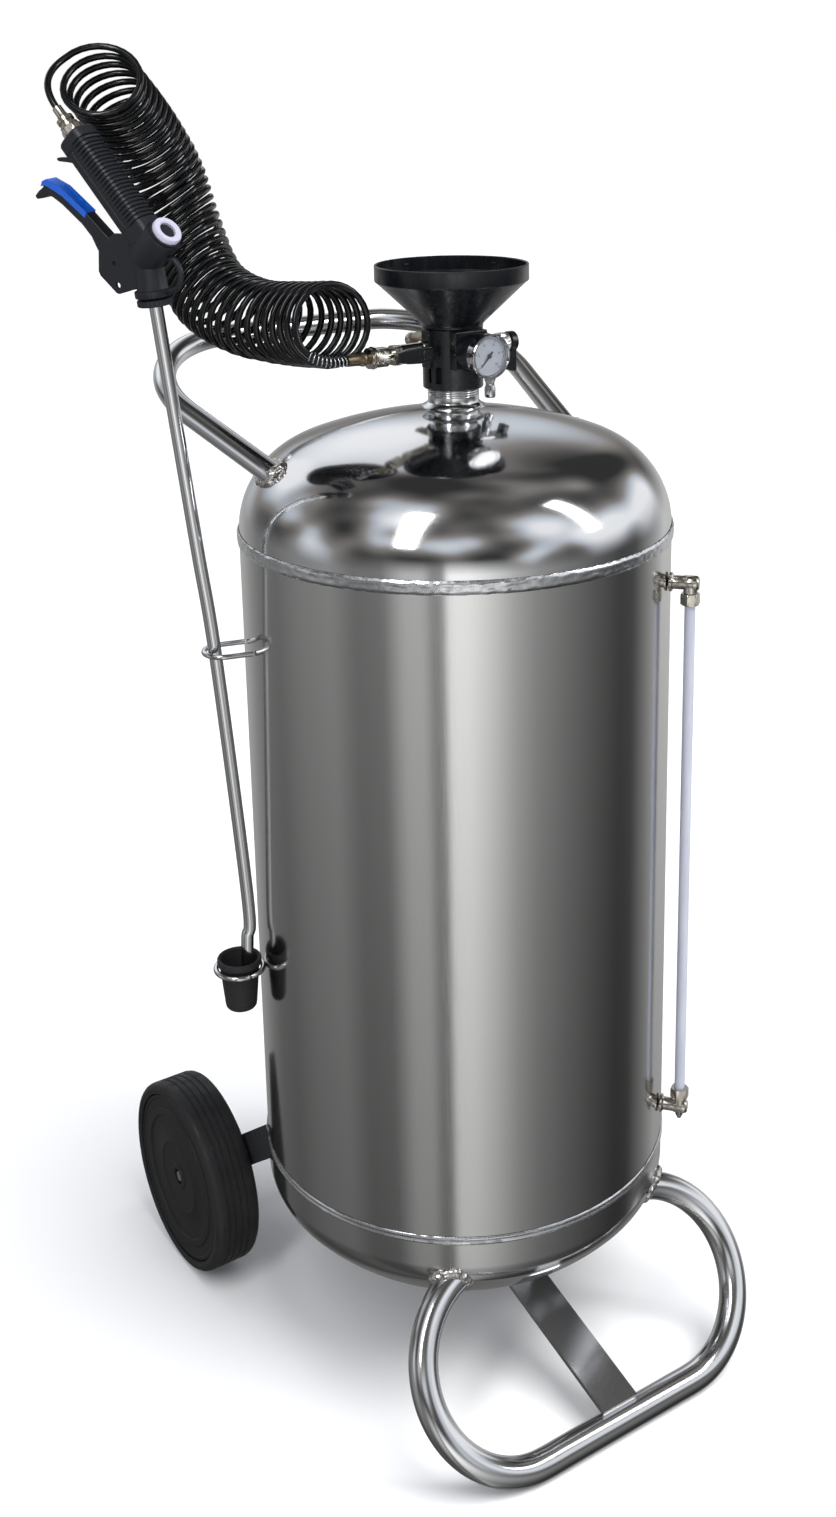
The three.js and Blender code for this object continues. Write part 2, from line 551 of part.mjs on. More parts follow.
// Half of the handle, from the middle of the crossbar to its end inside the tank head.
function handleHalf(sign) {
  const { halfWidth, bendR, depth, splay, slope, y } = HANDLE;
  const anchorZ = HIGH_SEAM_Z + TOP_HEAD.flange + 63;
  const flat = [[0, depth]];
  const [cx, cy] = [halfWidth - bendR, depth - bendR];
  for (let i = 0; i <= 7; i++) {
    const t = rad(90 - ((90 + splay) * i) / 7);
    flat.push([cx + bendR * Math.cos(t), cy + bendR * Math.sin(t)]);
  }
  const [endX, endD] = flat[flat.length - 1];
  for (const run of [40, 80, 118, 140]) {
    flat.push([endX - run * Math.sin(rad(splay)), endD - run * Math.cos(rad(splay))]);
  }
  return flat.map(([x, d]) => vec(sign * x, y + d * Math.cos(rad(slope)), anchorZ + d * Math.sin(rad(slope))));
}

function buildHandle() {
  const left = handleHalf(-1).reverse();
  const route = curveThrough([...left, ...handleHalf(1).slice(1)]);
  const tube = cut(pipe(route, HANDLE.r, 34), headFill(TOP_HEAD, HIGH_SEAM_Z, 1, GAP));
  piece("push_handle", tube, polishedSteel);
  const grown = pipe(route, HANDLE.r + GAP, 34);
  for (const [name, sign] of [["left", -1], ["right", 1]]) {
    const end = handleHalf(sign).slice(-4).reverse();
    const weld = weldAround(end, HANDLE.r, grown, TOP_HEAD, HIGH_SEAM_Z, 1);
    piece(`handle_weld_${name}`, weld, groundWeld);
  }
}

// ---- foot loop and strut ----

const FOOT_AXIS_Z = FOOT.r * Math.cos(Math.PI / 12) - FOOT.flat;

function footHalf(sign) {
  const run = Math.hypot(FOOT.frontY - FOOT.y, FOOT.z - FOOT_AXIS_Z);
  const [cx, cd] = [FOOT.halfWidth - FOOT.bendR, run - FOOT.bendR];
  const flat = [[0, run], [cx / 2, run]];
  for (let i = 0; i <= 11; i++) {
    const t = rad(90 - (165 * i) / 11);
    flat.push([cx + FOOT.bendR * Math.cos(t), cd + FOOT.bendR * Math.sin(t)]);
  }
  const share = (d) => d / run;
  return flat.map(([x, d]) => vec(
    sign * x,
    FOOT.y + (FOOT.frontY - FOOT.y) * share(d),
    FOOT.z + (FOOT_AXIS_Z - FOOT.z) * share(d),
  ));
}

function buildFoot() {
  const route = curveThrough([...footHalf(-1).reverse(), ...footHalf(1).slice(1)]);
  const ground = block([600, 600, 50], [0, FOOT.frontY, -25]);
  const loop = cut(pipe(route, FOOT.r, 34), headFill(LOW_HEAD, LOW_SEAM_Z, -1, GAP), ground);
  piece("foot_loop", loop, polishedSteel);
  const grown = pipe(route, FOOT.r + GAP, 34);
  for (const [name, sign] of [["left", -1], ["right", 1]]) {
    const end = footHalf(sign).slice(-5).reverse();
    const weld = weldAround(end, FOOT.r, grown, LOW_HEAD, LOW_SEAM_Z, -1);
    piece(`foot_weld_${name}`, weld, groundWeld);
  }
  const from = vec(0, FOOT.frontY, FOOT_AXIS_Z + FOOT.r + GAP + STRUT.thick / 2);
  const headZ = LOW_SEAM_Z - headDepth(LOW_HEAD);
  const to = vec(0, STRUT.endY, headZ + 16);
  const along = to.clone().sub(from);
  const bar = block([STRUT.width, STRUT.thick, along.length()], [0, 0, along.length() / 2], placed(from, along));
  piece("foot_strut", cut(bar, headFill(LOW_HEAD, LOW_SEAM_Z, -1, GAP), grown), polishedSteel);
}

// ---- wheels, axle and brackets ----

function buildWheel(name, sign) {
  const centre = vec(sign * WHEEL.x, WHEEL.y, WHEEL.r);
  const at = placed(centre, vec(sign, 0, 0));
  const half = WHEEL.width / 2;
  const { r, rimR, boreR, shoulder } = WHEEL;
  const tyre = [
    [rimR + GAP, -half], [r - shoulder, -half], [r, -half + 4.5], [r, half - 4.5], [r - shoulder, half],
    [rimR + GAP, half], [rimR + GAP, -half],
  ];
  piece(`tyre_${name}`, turned(tyre, WHEEL_SIDES, at), tyreRubber);
  const face = half - 2;
  const rim = [
    [boreR, -half], [16, -half], [16, face - 7], [rimR - 8, face - 7], [rimR - 8, 2 - half],
    [rimR, 2 - half], [rimR, face], [rimR - 15, face], [rimR - 17, face + 1], [rimR - 22, face + 1],
    [rimR - 24, face], [8, face], [8, face - 3], [boreR, face - 3], [boreR, -half],
  ];
  piece(`wheel_rim_${name}`, turned(rim, WHEEL_SIDES, at), blackPlastic);
}

function buildBracket(name, sign) {
  const half = BRACKET.height / 2;
  const from = new THREE.Vector2(BRACKET.topY, BRACKET.topZ);
  const to = new THREE.Vector2(WHEEL.y, WHEEL.r);
  const along = to.clone().sub(from).normalize();
  const side = new THREE.Vector2(-along.y, along.x);
  const corner = (base, s) => base.clone().addScaledVector(side, s * half).toArray();
  const outline = [corner(from, -1), corner(to, -1)];
  for (let i = 1; i < 8; i++) {
    const t = -Math.PI / 2 + (Math.PI * i) / 8;
    const tip = to.clone().addScaledVector(along, half * Math.cos(t)).addScaledVector(side, half * Math.sin(t));
    outline.push(tip.toArray());
  }
  outline.push(corner(to, 1), corner(from, 1));
  // the outline's x and y lie along world Y and Z
  const lie = new THREE.Matrix4().makeBasis(vec(0, 1, 0), vec(0, 0, 1), vec(1, 0, 0));
  lie.setPosition(sign > 0 ? BRACKET.x : -BRACKET.x - BRACKET.thick, 0, 0);
  const tank = turned([[0, 0], [TANK_R + GAP, 0], [TANK_R + GAP, 400], [0, 400]], TANK_SIDES);
  const x = sign * BRACKET.x;
  const hole = rod(AXLE_R + GAP, vec(x - 20, WHEEL.y, WHEEL.r), vec(x + 20, WHEEL.y, WHEEL.r), 20);
  const beadR = TANK_R + SEAM_BEAD.height + 2 * GAP;
  const beadHalf = SEAM_BEAD.width / 2 + GAP;
  const bead = rod(beadR, vec(0, 0, LOW_SEAM_Z - beadHalf), vec(0, 0, LOW_SEAM_Z + beadHalf), TANK_SIDES);
  piece(`wheel_bracket_${name}`, cut(plate(outline, BRACKET.thick, lie), tank, bead, hole), blackPaint);
}

function buildWheels() {
  for (const [name, sign] of [["left", -1], ["right", 1]]) {
    buildWheel(name, sign);
    buildBracket(name, sign);
  }
  const end = WHEEL.x + WHEEL.width / 2 - AXLE_RECESS;
  piece("wheel_axle", rod(AXLE_R, vec(-end, WHEEL.y, WHEEL.r), vec(end, WHEEL.y, WHEEL.r), 20), nickel);
}

// ---- cup, its ring, and the loop that steadies the lance ----

const OUT = vec(Math.cos(rad(HOLDER_ANGLE)), Math.sin(rad(HOLDER_ANGLE)), 0);
const ACROSS = vec(-OUT.y, OUT.x, 0);
const fromTank = (distance, z, across = 0) => OUT.clone()
  .multiplyScalar(TANK_R + distance)
  .addScaledVector(ACROSS, across)
  .setZ(z);

function buildHolders() {
  const tank = turned([[0, 100], [TANK_R + GAP, 100], [TANK_R + GAP, 800], [0, 800]], TANK_SIDES);
  const at = placed(fromTank(CUP.offset, CUP.z - CUP.height));
  const { rimR, topR, baseR, height, wall, rimHeight } = CUP;
  const cup = [
    [0, 0], [baseR - 3, 0], [baseR, 3], [topR, height - rimHeight], [rimR, height - rimHeight + 1],
    [rimR, height - 1], [rimR - 1, height], [topR - wall + 0.5, height], [topR - wall - 0.5, height - 2],
    [baseR - wall, wall + 2], [0, wall],
  ];
  piece("lance_cup", turned(cup, 24, at), softBlack);
  const ringR = topR + GAP + RING_WIRE_R;
  const wire = new THREE.TorusGeometry(ringR, RING_WIRE_R, 8, 24);
  piece("cup_ring", cut(solid(wire, placed(fromTank(CUP.offset, CUP.z - RING_DROP))), tank), polishedSteel);

  const { wireR, halfWidth, reach, z } = LOOP;
  const bend = reach - halfWidth - wireR;
  const points = [fromTank(-6, z, -halfWidth), fromTank(bend * 0.5, z, -halfWidth)];
  for (let i = 0; i <= 8; i++) {
    const t = -Math.PI / 2 + (Math.PI * i) / 8;
    points.push(fromTank(bend + halfWidth * Math.cos(t), z, halfWidth * Math.sin(t)));
  }
  points.push(fromTank(bend * 0.5, z, halfWidth), fromTank(-6, z, halfWidth));
  piece("lance_loop", cut(pipe(curveThrough(points), wireR, 22, 8), tank), polishedSteel);
}

// ---- gun: its own frame has +X to the gun's back, +Z up the lance, and the lance's top at the origin ----

const lanceTop = fromTank(...LANCE_TOP);
const lanceMid = fromTank(...LANCE_MID);
const gunUp = lanceTop.clone().sub(lanceMid).normalize();
const gunBack = vec(Math.cos(rad(GUN_TURN)), Math.sin(rad(GUN_TURN)), 0);
gunBack.addScaledVector(gunUp, -gunBack.dot(gunUp)).normalize();
const gunSide = gunUp.clone().cross(gunBack);
const gun = new THREE.Group();
gun.applyMatrix4(new THREE.Matrix4().makeBasis(gunBack, gunSide, gunUp).setPosition(lanceTop));
machine.add(gun);

const gripUp = vec(-Math.sin(rad(GRIP.lean)), 0, Math.cos(rad(GRIP.lean)));
const gripBack = vec(Math.cos(rad(GRIP.lean)), 0, Math.sin(rad(GRIP.lean)));
const gripFoot = vec(1, 0, 62); // where the grip's axis crosses the head
// Puts a piece drawn with +Z up the grip and +X to its back into the gun's frame.
const onGrip = new THREE.Matrix4().makeBasis(gripBack, vec(0, 1, 0), gripUp).setPosition(gripFoot);
// Puts an outline drawn in the gun's X and Z plane, given a thickness along +Y, into the gun's frame.
const sideways = (y, thick) => new THREE.Matrix4()
  .makeBasis(vec(1, 0, 0), vec(0, 0, 1), vec(0, -1, 0))
  .setPosition(0, y + thick, 0);

const NUT_TOP = 6;
const FLANGE = { low: 7.6, high: 13.6, r: 16 };
const HEAD_R = 16;
const HEAD_AXIS = vec(8, 0, 48);

function roundedBar(depth, width, corner, low, high, matrix) {
  const [x, y] = [depth / 2, width / 2];
  const c = corner * 0.3;
  const outline = [
    [x - corner, -y], [x - c, -y + c], [x, -y + corner], [x, y - corner], [x - c, y - c], [x - corner, y],
    [corner - x, y], [c - x, y - c], [-x, y - corner], [-x, corner - y], [c - x, c - y], [corner - x, -y],
  ];
  const lift = new THREE.Matrix4().makeTranslation(0, 0, low);
  return plate(outline, high - low, matrix.clone().multiply(lift));
}

function gunBody() {
  const barrel = turned([
    [0, FLANGE.low], [FLANGE.r, FLANGE.low], [FLANGE.r, FLANGE.high], [13.5, FLANGE.high + 1],
    [11.5, 44], [0, 50],
  ], 24);
  const head = rod(HEAD_R, HEAD_AXIS.clone().addScaledVector(gripBack, -14), capFoot(0), 24);
  const grip = roundedBar(GRIP.depth, GRIP.width, 8, GRIP.start, GRIP.end, onGrip);
  const cheekLine = [[-12, 15], [-31, 11], [-50, 29], [-45, 50], [-24, 62], [-4, 60], [-4, 20]];
  const cheeks = [-1, 1].map((s) => {
    const low = s > 0 ? CHEEK.gap / 2 : -CHEEK.gap / 2 - CHEEK.thick;
    return plate(cheekLine, CHEEK.thick, sideways(low, CHEEK.thick));
  });
  const hole = rod(2.5, vec(-30, -20, 19), vec(-30, 20, 19), 12);
  const pinHole = rod(
    TRIGGER.pinR + GAP,
    vec(TRIGGER.pinX, -20, TRIGGER.pinZ),
    vec(TRIGGER.pinX, 20, TRIGGER.pinZ),
    12,
  );
  const hookLine = [vec(20, 0, 38), vec(32, 0, 36), vec(35, 0, 26), vec(28, 0, 15), vec(14, 0, 11)];
  const hook = pipe(curveThrough(hookLine), 2.4, 10, 8);
  let body = join(barrel, head, grip, ...cheeks, hook);
  // room between the cheeks for the trigger's heel
  body = cut(body, block([30, CHEEK.gap, 28], [-31, 0, 32]), hole, pinHole);
  body = cut(body, rod(LANCE_BORE_R, vec(0, 0, -1), vec(0, 0, 34), 14));
  return body;
}
const capFoot = (lift) => HEAD_AXIS.clone().addScaledVector(gripBack, 20 + lift);

function buildGun() {
  const gripTop = GRIP.end;
  const inlet = rod(5.3, vec(0, 0, gripTop - 8), vec(0, 0, gripTop + 1), 16).transform(onGrip.elements);
  const lockX = LOCK.sink - GRIP.depth / 2;
  const lockZ = gripTop - LOCK.below;
  const slotSize = [LOCK.sink + 8, LOCK.thick + 2 * GAP, LOCK.below + 12];
  const lockSlot = block(slotSize, [lockX - 2, 0, lockZ + slotSize[2] / 2 - 8], onGrip);
  const lockHole = rod(LOCK.pinR + GAP, vec(lockX, -20, lockZ), vec(lockX, 20, lockZ), 10).transform(onGrip.elements);
  piece("gun_body", cut(gunBody(), inlet, lockSlot, lockHole), blackPlastic, gun);
  const capTop = capFoot(7);
  const cap = cut(rod(14.5, capFoot(GAP), capTop, 28), rod(7, capFoot(4), capFoot(9), 6));
  piece("gun_valve_cap", cap, greyPlastic, gun);

  const fitting = turned([
    [2, gripTop - 7], [5, gripTop - 7], [5, gripTop + GAP], [9, gripTop + GAP], [9, gripTop + 9],
    [6.5, gripTop + 10], [7.5, gripTop + 12], [7.5, gripTop + 18], [4.2, gripTop + 20],
    [4.2, gripTop + 30], [HOSE_R + GAP, gripTop + 30], [HOSE_R + GAP, gripTop + 22], [2, gripTop + 22],
    [2, gripTop - 7],
  ], 18, onGrip);
  piece("gun_inlet_fitting", fitting, nickel, gun);

  const nut = ringOutline(LANCE_R + GAP, 15, 0, NUT_TOP);
  piece("lance_nut", turned(nut, 24), blackPlastic, gun);
  const seal = ringOutline(LANCE_R + GAP, 12.5, NUT_TOP + GAP, FLANGE.low - GAP);
  piece("lance_seal", turned(seal, 24), softBlack, gun);

  const pin = rod(
    TRIGGER.pinR,
    vec(TRIGGER.pinX, -CHEEK.gap / 2 - CHEEK.thick, TRIGGER.pinZ),
    vec(TRIGGER.pinX, CHEEK.gap / 2 + CHEEK.thick, TRIGGER.pinZ),
    12,
  );
  piece("trigger_pin", pin, nickel, gun);
  const { pinX, pinZ, width } = TRIGGER;
  const lever = plate([
    [pinX + 8, pinZ - 6], [pinX + 8, pinZ + 6], [-44, 62], [-60, 80], [-84, 100], [-101, 108], [-108, 104],
    [-118, 97], [-116, 93], [-102, 96], [-90, 92], [-66, 72], [-54, 54], [pinX - 8, pinZ - 5],
    [pinX - 2, pinZ - 8],
  ], width, sideways(-width / 2, width));
  const pocket = block([34, width - 4, 8], [0, 0, 0], insertSeat(0));
  const trigger = cut(lever, pocket, rod(TRIGGER.pinR + GAP, vec(pinX, -20, pinZ), vec(pinX, 20, pinZ), 12));
  piece("gun_trigger", trigger, blackPlastic, gun);
  const insert = block([34 - 2 * GAP, width - 4 - 2 * GAP, 7], [0, 0, 0], insertSeat(0.5));
  piece("trigger_insert", insert, bluePlastic, gun);

  const pivot = vec(lockX, 0, lockZ).applyMatrix4(onGrip);
  const arm = plate(
    [[-2.6, -2.6], [2.6, -2.6], [2.6, 2.6], [-2.6, 2.6], [-LOCK.reach, 1.5], [-LOCK.reach, -1]],
    LOCK.thick,
    new THREE.Matrix4().makeTranslation(pivot.x, 0, pivot.z).multiply(sideways(-LOCK.thick / 2, LOCK.thick)),
  );
  const lockPin = rod(LOCK.pinR, pivot.clone().setY(1 - GRIP.width / 2), pivot.clone().setY(GRIP.width / 2 - 1), 10);
  piece("trigger_lock", join(arm, lockPin), blackPlastic, gun);
}

// Middle of the trigger's finger face, with +X along the lever.
function insertSeat(lift) {
  const along = vec(-24, 0, 20).normalize();
  const out = vec(along.z, 0, -along.x);
  const seat = new THREE.Matrix4().makeBasis(along, vec(0, 1, 0), along.clone().cross(vec(0, 1, 0)));
  return seat.setPosition(vec(-76, 0, 91).addScaledVector(out, 2 + lift));
}

function buildLance() {
  const down = gunUp.clone().multiplyScalar(-1);
  const head = lanceTop.clone();
  const route = curveThrough([
    head.clone().addScaledVector(gunUp, NUT_TOP - 1),
    head.clone().addScaledVector(down, 110),
    head.clone().addScaledVector(down, 220),
    lanceMid,
    fromTank(...LANCE_BEND),
    fromTank((LANCE_BEND[0] + LANCE_TIP[0]) / 2, (LANCE_BEND[1] + LANCE_TIP[1]) / 2),
    fromTank(...LANCE_TIP),
  ]);
  piece("lance", pipe(route, LANCE_R, 20, 10, LANCE_BORE_R), polishedSteel);
}

// ---- hose ----

function buildHose() {
  const lead = curveThrough(VALVE_LEAD.map(([x, y, z]) => vec(x, y, PORT_Z + z)));
  piece("hose_valve_lead", pipe(lead, HOSE_R, 12, 8), hosePlastic);
  const guardStart = vec(-TAIL.end - 2 * GAP, 0, PORT_Z);
  const guard = curveThrough([guardStart, ...VALVE_LEAD.slice(2, 5).map(([x, y, z]) => vec(x, y, PORT_Z + z))]);
  piece("hose_spring_guard", pipe(guard, GUARD_R, 8, 12, HOSE_R + 1), nickel);
  const route = curveThrough(COIL_ROUTE.map((point) => vec(...point)));
  piece("hose_coil", pipe(route, COIL_R, 26, 12), hosePlastic);
  const start = vec(0, 0, GRIP.end + 22 + GAP).applyMatrix4(onGrip).applyMatrix4(gun.matrix);
  const over = [start, ...GUN_LEAD.map((point) => vec(...point)), vec(...GUN_LEAD_END)];
  piece("hose_gun_lead", pipe(curveThrough(over), HOSE_R, 24, 8), hosePlastic);
}

buildTank();
buildNeck();
buildBody();
buildFunnel();
buildGauge();
buildOutlet();
buildInlet();
buildSafetyValve();
buildLevelTube();
buildHandle();
buildFoot();
buildWheels();
buildHolders();
buildGun();
buildLance();
buildHose();

// The origin is the middle of the base of the whole object, without its hose.
const HOSE_NODES = ["hose_valve_lead", "hose_spring_guard", "hose_coil", "hose_gun_lead"];
machine.updateMatrixWorld(true);
const extent = new THREE.Box3();
machine.traverse((object) => {
  if (object.isMesh && !HOSE_NODES.includes(object.name)) extent.expandByObject(object, true);
});
const middle = extent.getCenter(vec(0, 0, 0));
machine.position.set(-middle.x, -middle.y, -extent.min.z);

export default machine;
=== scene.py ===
import math

import bpy
from mathutils import Matrix, Vector, noise


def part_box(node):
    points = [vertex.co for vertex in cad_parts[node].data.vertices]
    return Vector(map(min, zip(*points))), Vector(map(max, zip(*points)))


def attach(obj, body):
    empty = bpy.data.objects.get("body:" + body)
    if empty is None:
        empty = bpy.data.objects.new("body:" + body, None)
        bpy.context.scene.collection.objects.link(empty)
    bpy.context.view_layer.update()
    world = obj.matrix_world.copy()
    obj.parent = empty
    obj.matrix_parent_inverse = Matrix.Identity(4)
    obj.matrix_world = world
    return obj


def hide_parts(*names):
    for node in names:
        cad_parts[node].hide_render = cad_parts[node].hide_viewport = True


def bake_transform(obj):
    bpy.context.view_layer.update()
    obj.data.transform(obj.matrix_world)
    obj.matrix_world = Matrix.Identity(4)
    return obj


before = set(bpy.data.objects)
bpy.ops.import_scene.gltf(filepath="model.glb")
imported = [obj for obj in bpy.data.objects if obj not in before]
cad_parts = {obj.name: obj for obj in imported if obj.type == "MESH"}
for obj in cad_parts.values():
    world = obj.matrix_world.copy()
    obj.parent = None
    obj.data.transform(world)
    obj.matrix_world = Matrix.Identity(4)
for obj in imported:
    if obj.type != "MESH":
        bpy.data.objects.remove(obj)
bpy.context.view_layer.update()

# ---- Camera, light and floor ----
# The machine stands on a plain white studio floor. The camera is at chest height in front of its left
# side. Soft white light comes from all round, and the metal mirrors a room of tall bright and dark bands.

shell_low, shell_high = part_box("tank_shell")
AXIS_X = (shell_low[0] + shell_high[0]) / 2
AXIS_Y = (shell_low[1] + shell_high[1]) / 2


def metres(point):
    # From millimetres about the tank's axis to metres in the shared frame.
    return Vector((AXIS_X + point[0] / 1000, AXIS_Y + point[1] / 1000, point[2] / 1000))


def colour(hex_text, alpha=1.0):
    # An sRGB hex colour as linear values.
    channels = [int(hex_text[i:i + 2], 16) / 255 for i in (1, 3, 5)]
    linear = [c / 12.92 if c <= 0.04045 else ((c + 0.055) / 1.055) ** 2.4 for c in channels]
    return (*linear, alpha)


def add(tree, kind, inputs=None, **settings):
    # One node with its settings; an input is a value, or a socket of another node to link from.
    made = tree.nodes.new(kind)
    for key, value in settings.items():
        setattr(made, key, value)
    for key, value in (inputs or {}).items():
        if isinstance(value, bpy.types.NodeSocket):
            tree.links.new(value, made.inputs[key])
        else:
            made.inputs[key].default_value = value
    return made


def stops(ramp, pairs):
    # Sets a colour ramp's stops from (place, colour) pairs.
    points = ramp.color_ramp.elements
    while len(points) > 1:
        points.remove(points[-1])
    points[0].position, points[0].color = pairs[0]
    for place, tint in pairs[1:]:
        points.new(place).color = tint


scene = bpy.context.scene
scene.view_settings.view_transform = "Standard"
scene.view_settings.look = "None"

eye = metres((-855.3, -1262.4, 1239.6))
forward = Vector((0.5460, 0.7970, -0.2581)).normalized()
level = Vector((0.8250, -0.5652, 0)).normalized()
upright = level.cross(forward).normalized()
roll = math.radians(-0.8075)
right = level * math.cos(roll) + upright * math.sin(roll)
top = upright * math.cos(roll) - level * math.sin(roll)
lens = bpy.data.cameras.new("camera")
lens.lens = 40.27
lens.sensor_width = 36
lens.shift_x = -0.0302
lens.shift_y = -0.158
lens.clip_end = 50
camera = bpy.data.objects.new("camera", lens)
camera.matrix_world = Matrix((
    (right.x, top.x, -forward.x, eye.x),
    (right.y, top.y, -forward.y, eye.y),
    (right.z, top.z, -forward.z, eye.z),
    (0, 0, 0, 1),
))
scene.collection.objects.link(camera)
scene.camera = camera

# The studio: white to the eye and as light, and banded where the metal mirrors it.
world = bpy.data.worlds.new("studio")
scene.world = world
world.use_nodes = True
room = world.node_tree
room.nodes.clear()
aim = add(room, "ShaderNodeTexCoord").outputs["Generated"]
facing = Vector((-0.5609, -0.8279, 0))
beside = Vector((0.8279, -0.5609, 0))
ahead = add(room, "ShaderNodeVectorMath", {0: aim, 1: facing}, operation="DOT_PRODUCT").outputs["Value"]
across = add(room, "ShaderNodeVectorMath", {0: aim, 1: beside}, operation="DOT_PRODUCT").outputs["Value"]
height = add(room, "ShaderNodeSeparateXYZ", {0: aim}).outputs["Z"]
turn = add(room, "ShaderNodeMath", {0: across, 1: ahead}, operation="ARCTAN2").outputs[0]
place = add(room, "ShaderNodeMapRange", {0: turn, 1: -math.pi, 2: math.pi, 3: 0.0, 4: 1.0}).outputs[0]
bands = add(room, "ShaderNodeValToRGB", {0: place})
BANDS = [
    (-180, 0.30), (-150, 0.30), (-125, 0.16), (-108, 0.14), (-90, 0.20), (-68, 0.24), (-54, 0.15),
    (-38, 0.17), (-27, 0.44), (-17, 0.46), (-12, 0.22), (-7, 0.24), (-4, 0.95), (6, 0.90), (18, 0.66),
    (30, 0.40), (42, 0.26), (58, 0.17), (76, 0.10), (94, 0.05), (106, 0.06), (122, 0.24), (140, 0.46),
    (165, 0.36), (180, 0.30),
]
stops(bands, [((turn_deg + 180) / 360, (v, v * 0.995, v * 0.985, 1)) for turn_deg, v in BANDS])
fade = add(room, "ShaderNodeMapRange", {0: height, 1: -0.75, 2: -0.28, 3: 0.42, 4: 1.25}).outputs[0]
lower = add(
    room, "ShaderNodeVectorMath", {0: bands.outputs[0], "Scale": fade}, operation="SCALE"
).outputs[0]
patches = add(room, "ShaderNodeTexNoise", {"Vector": aim, "Scale": 1.7, "Detail": 0.8, "Roughness": 0.4})
ceiling = add(room, "ShaderNodeValToRGB", {0: patches.outputs[0]})
stops(ceiling, [
    (0.34, colour("#333333")), (0.42, colour("#5d5b59")), (0.50, colour("#8b8783")),
    (0.58, colour("#c2c8d0")), (0.70, colour("#fafbfd")),
])
rise = add(room, "ShaderNodeMapRange", {0: height, 1: -0.12, 2: 0.18, 3: 0.0, 4: 1.0}).outputs[0]
mirrored = add(
    room, "ShaderNodeMix", {0: rise, 6: lower, 7: ceiling.outputs[0]}, data_type="RGBA"
).outputs[2]
ray = add(room, "ShaderNodeLightPath")
shone = add(room, "ShaderNodeBackground", {0: mirrored, 1: 1.25})
lit = add(room, "ShaderNodeBackground", {0: (0.49, 0.505, 0.545, 1), 1: 1.0})
seen = add(room, "ShaderNodeBackground", {0: (1, 1, 1, 1), 1: 1.0})
glow = add(
    room, "ShaderNodeMixShader", {0: ray.outputs["Is Glossy Ray"], 1: lit.outputs[0], 2: shone.outputs[0]}
)
glow = add(
    room, "ShaderNodeMixShader", {0: ray.outputs["Is Camera Ray"], 1: glow.outputs[0], 2: seen.outputs[0]}
)
add(room, "ShaderNodeOutputWorld", {0: glow.outputs[0]})

lamp = bpy.data.lights.new("soft_key", "SUN")
lamp.energy = 2.35
lamp.angle = math.radians(42)
key = bpy.data.objects.new("soft_key", lamp)
key.rotation_euler = (math.radians(24), math.radians(12), 0)
key.visible_glossy = False
scene.collection.objects.link(key)
# Two long softboxes overhead put the bright lines along the hose, the funnel and the tubes.
for name, spot, size, watts in (
    ("softbox_left", (-1.7, -1.0, 2.6), (0.45, 1.9), 24),
    ("softbox_right", (1.4, -1.5, 2.3), (0.32, 1.6), 12),
):
    box = bpy.data.lights.new(name, "AREA")
    box.shape = "RECTANGLE"
    box.size, box.size_y = size
    box.energy = watts
    hung = bpy.data.objects.new(name, box)
    hung.location = spot
    hung.rotation_euler = (Vector((0, 0, 0.9)) - Vector(spot)).to_track_quat("-Z", "Y").to_euler()
    scene.collection.objects.link(hung)

floor_mesh = bpy.data.meshes.new("floor")
floor_mesh.from_pydata([(-9, -9, 0), (9, -9, 0), (9, 9, 0), (-9, 9, 0)], [], [(0, 1, 2, 3)])
floor = bpy.data.objects.new("floor", floor_mesh)
scene.collection.objects.link(floor)
floor.location.z = -0.0005
floor.visible_glossy = False
paper = bpy.data.materials.new("white_studio_paper")
paper.use_nodes = True
bsdf = paper.node_tree.nodes["Principled BSDF"]
bsdf.inputs["Base Color"].default_value = (0.98, 0.98, 0.98, 1)
bsdf.inputs["Roughness"].default_value = 1.0
bsdf.inputs["Specular IOR Level"].default_value = 0.0
floor_mesh.materials.append(paper)

# ---- Tank shell ----
# Stainless sheet rolled to 400 mm and welded to two dished heads. It is left with its mill finish: a
# fine upright grain, a slight unevenness of the sheet, and a few handling scratches.

TANK_R = 200.0
WALL = 2.0
LOW_SEAM, HIGH_SEAM = 204.0, 827.0


def finish(name, slot, base, metallic, roughness, **sockets):
    # A new material with its record slot and plain values set; returns it, its tree and its shader.
    made = bpy.data.materials.new(name)
    made["slot"] = slot
    made.use_nodes = True
    shader = made.node_tree.nodes["Principled BSDF"]
    shader.inputs["Base Color"].default_value = colour(base)
    shader.inputs["Metallic"].default_value = metallic
    shader.inputs["Roughness"].default_value = roughness
    for key, value in sockets.items():
        shader.inputs[key.replace("_", " ")].default_value = value
    return made, made.node_tree, shader


def vary(tree, shader, socket, source, low, high, at=(0.35, 0.65)):
    # Drives a number of the shader from a pattern, between two values.
    spread = add(tree, "ShaderNodeMapRange", {0: source, 1: at[0], 2: at[1], 3: low, 4: high})
    tree.links.new(spread.outputs[0], shader.inputs[socket])


def emboss(tree, shader, source, depth_mm, strength=1.0, under=None):
    # Bump from a pattern, with its real depth.
    links = {"Height": source, "Distance": depth_mm / 1000, "Strength": strength}
    if under:
        links["Normal"] = under
    made = add(tree, "ShaderNodeBump", links).outputs[0]
    tree.links.new(made, shader.inputs["Normal"])
    return made


def pattern(tree, size_mm, stretch=(1, 1, 1), kind="ShaderNodeTexNoise", **settings):
    # A procedural pattern whose features are size_mm across, longer along an axis where stretch is above 1.
    where = add(tree, "ShaderNodeTexCoord").outputs["Object"]
    scale = [1000 / size_mm / s for s in stretch]
    mapped = add(tree, "ShaderNodeMapping", {"Vector": where, "Scale": scale}).outputs[0]
    return add(tree, kind, {"Vector": mapped, "Scale": 1.0, **settings})


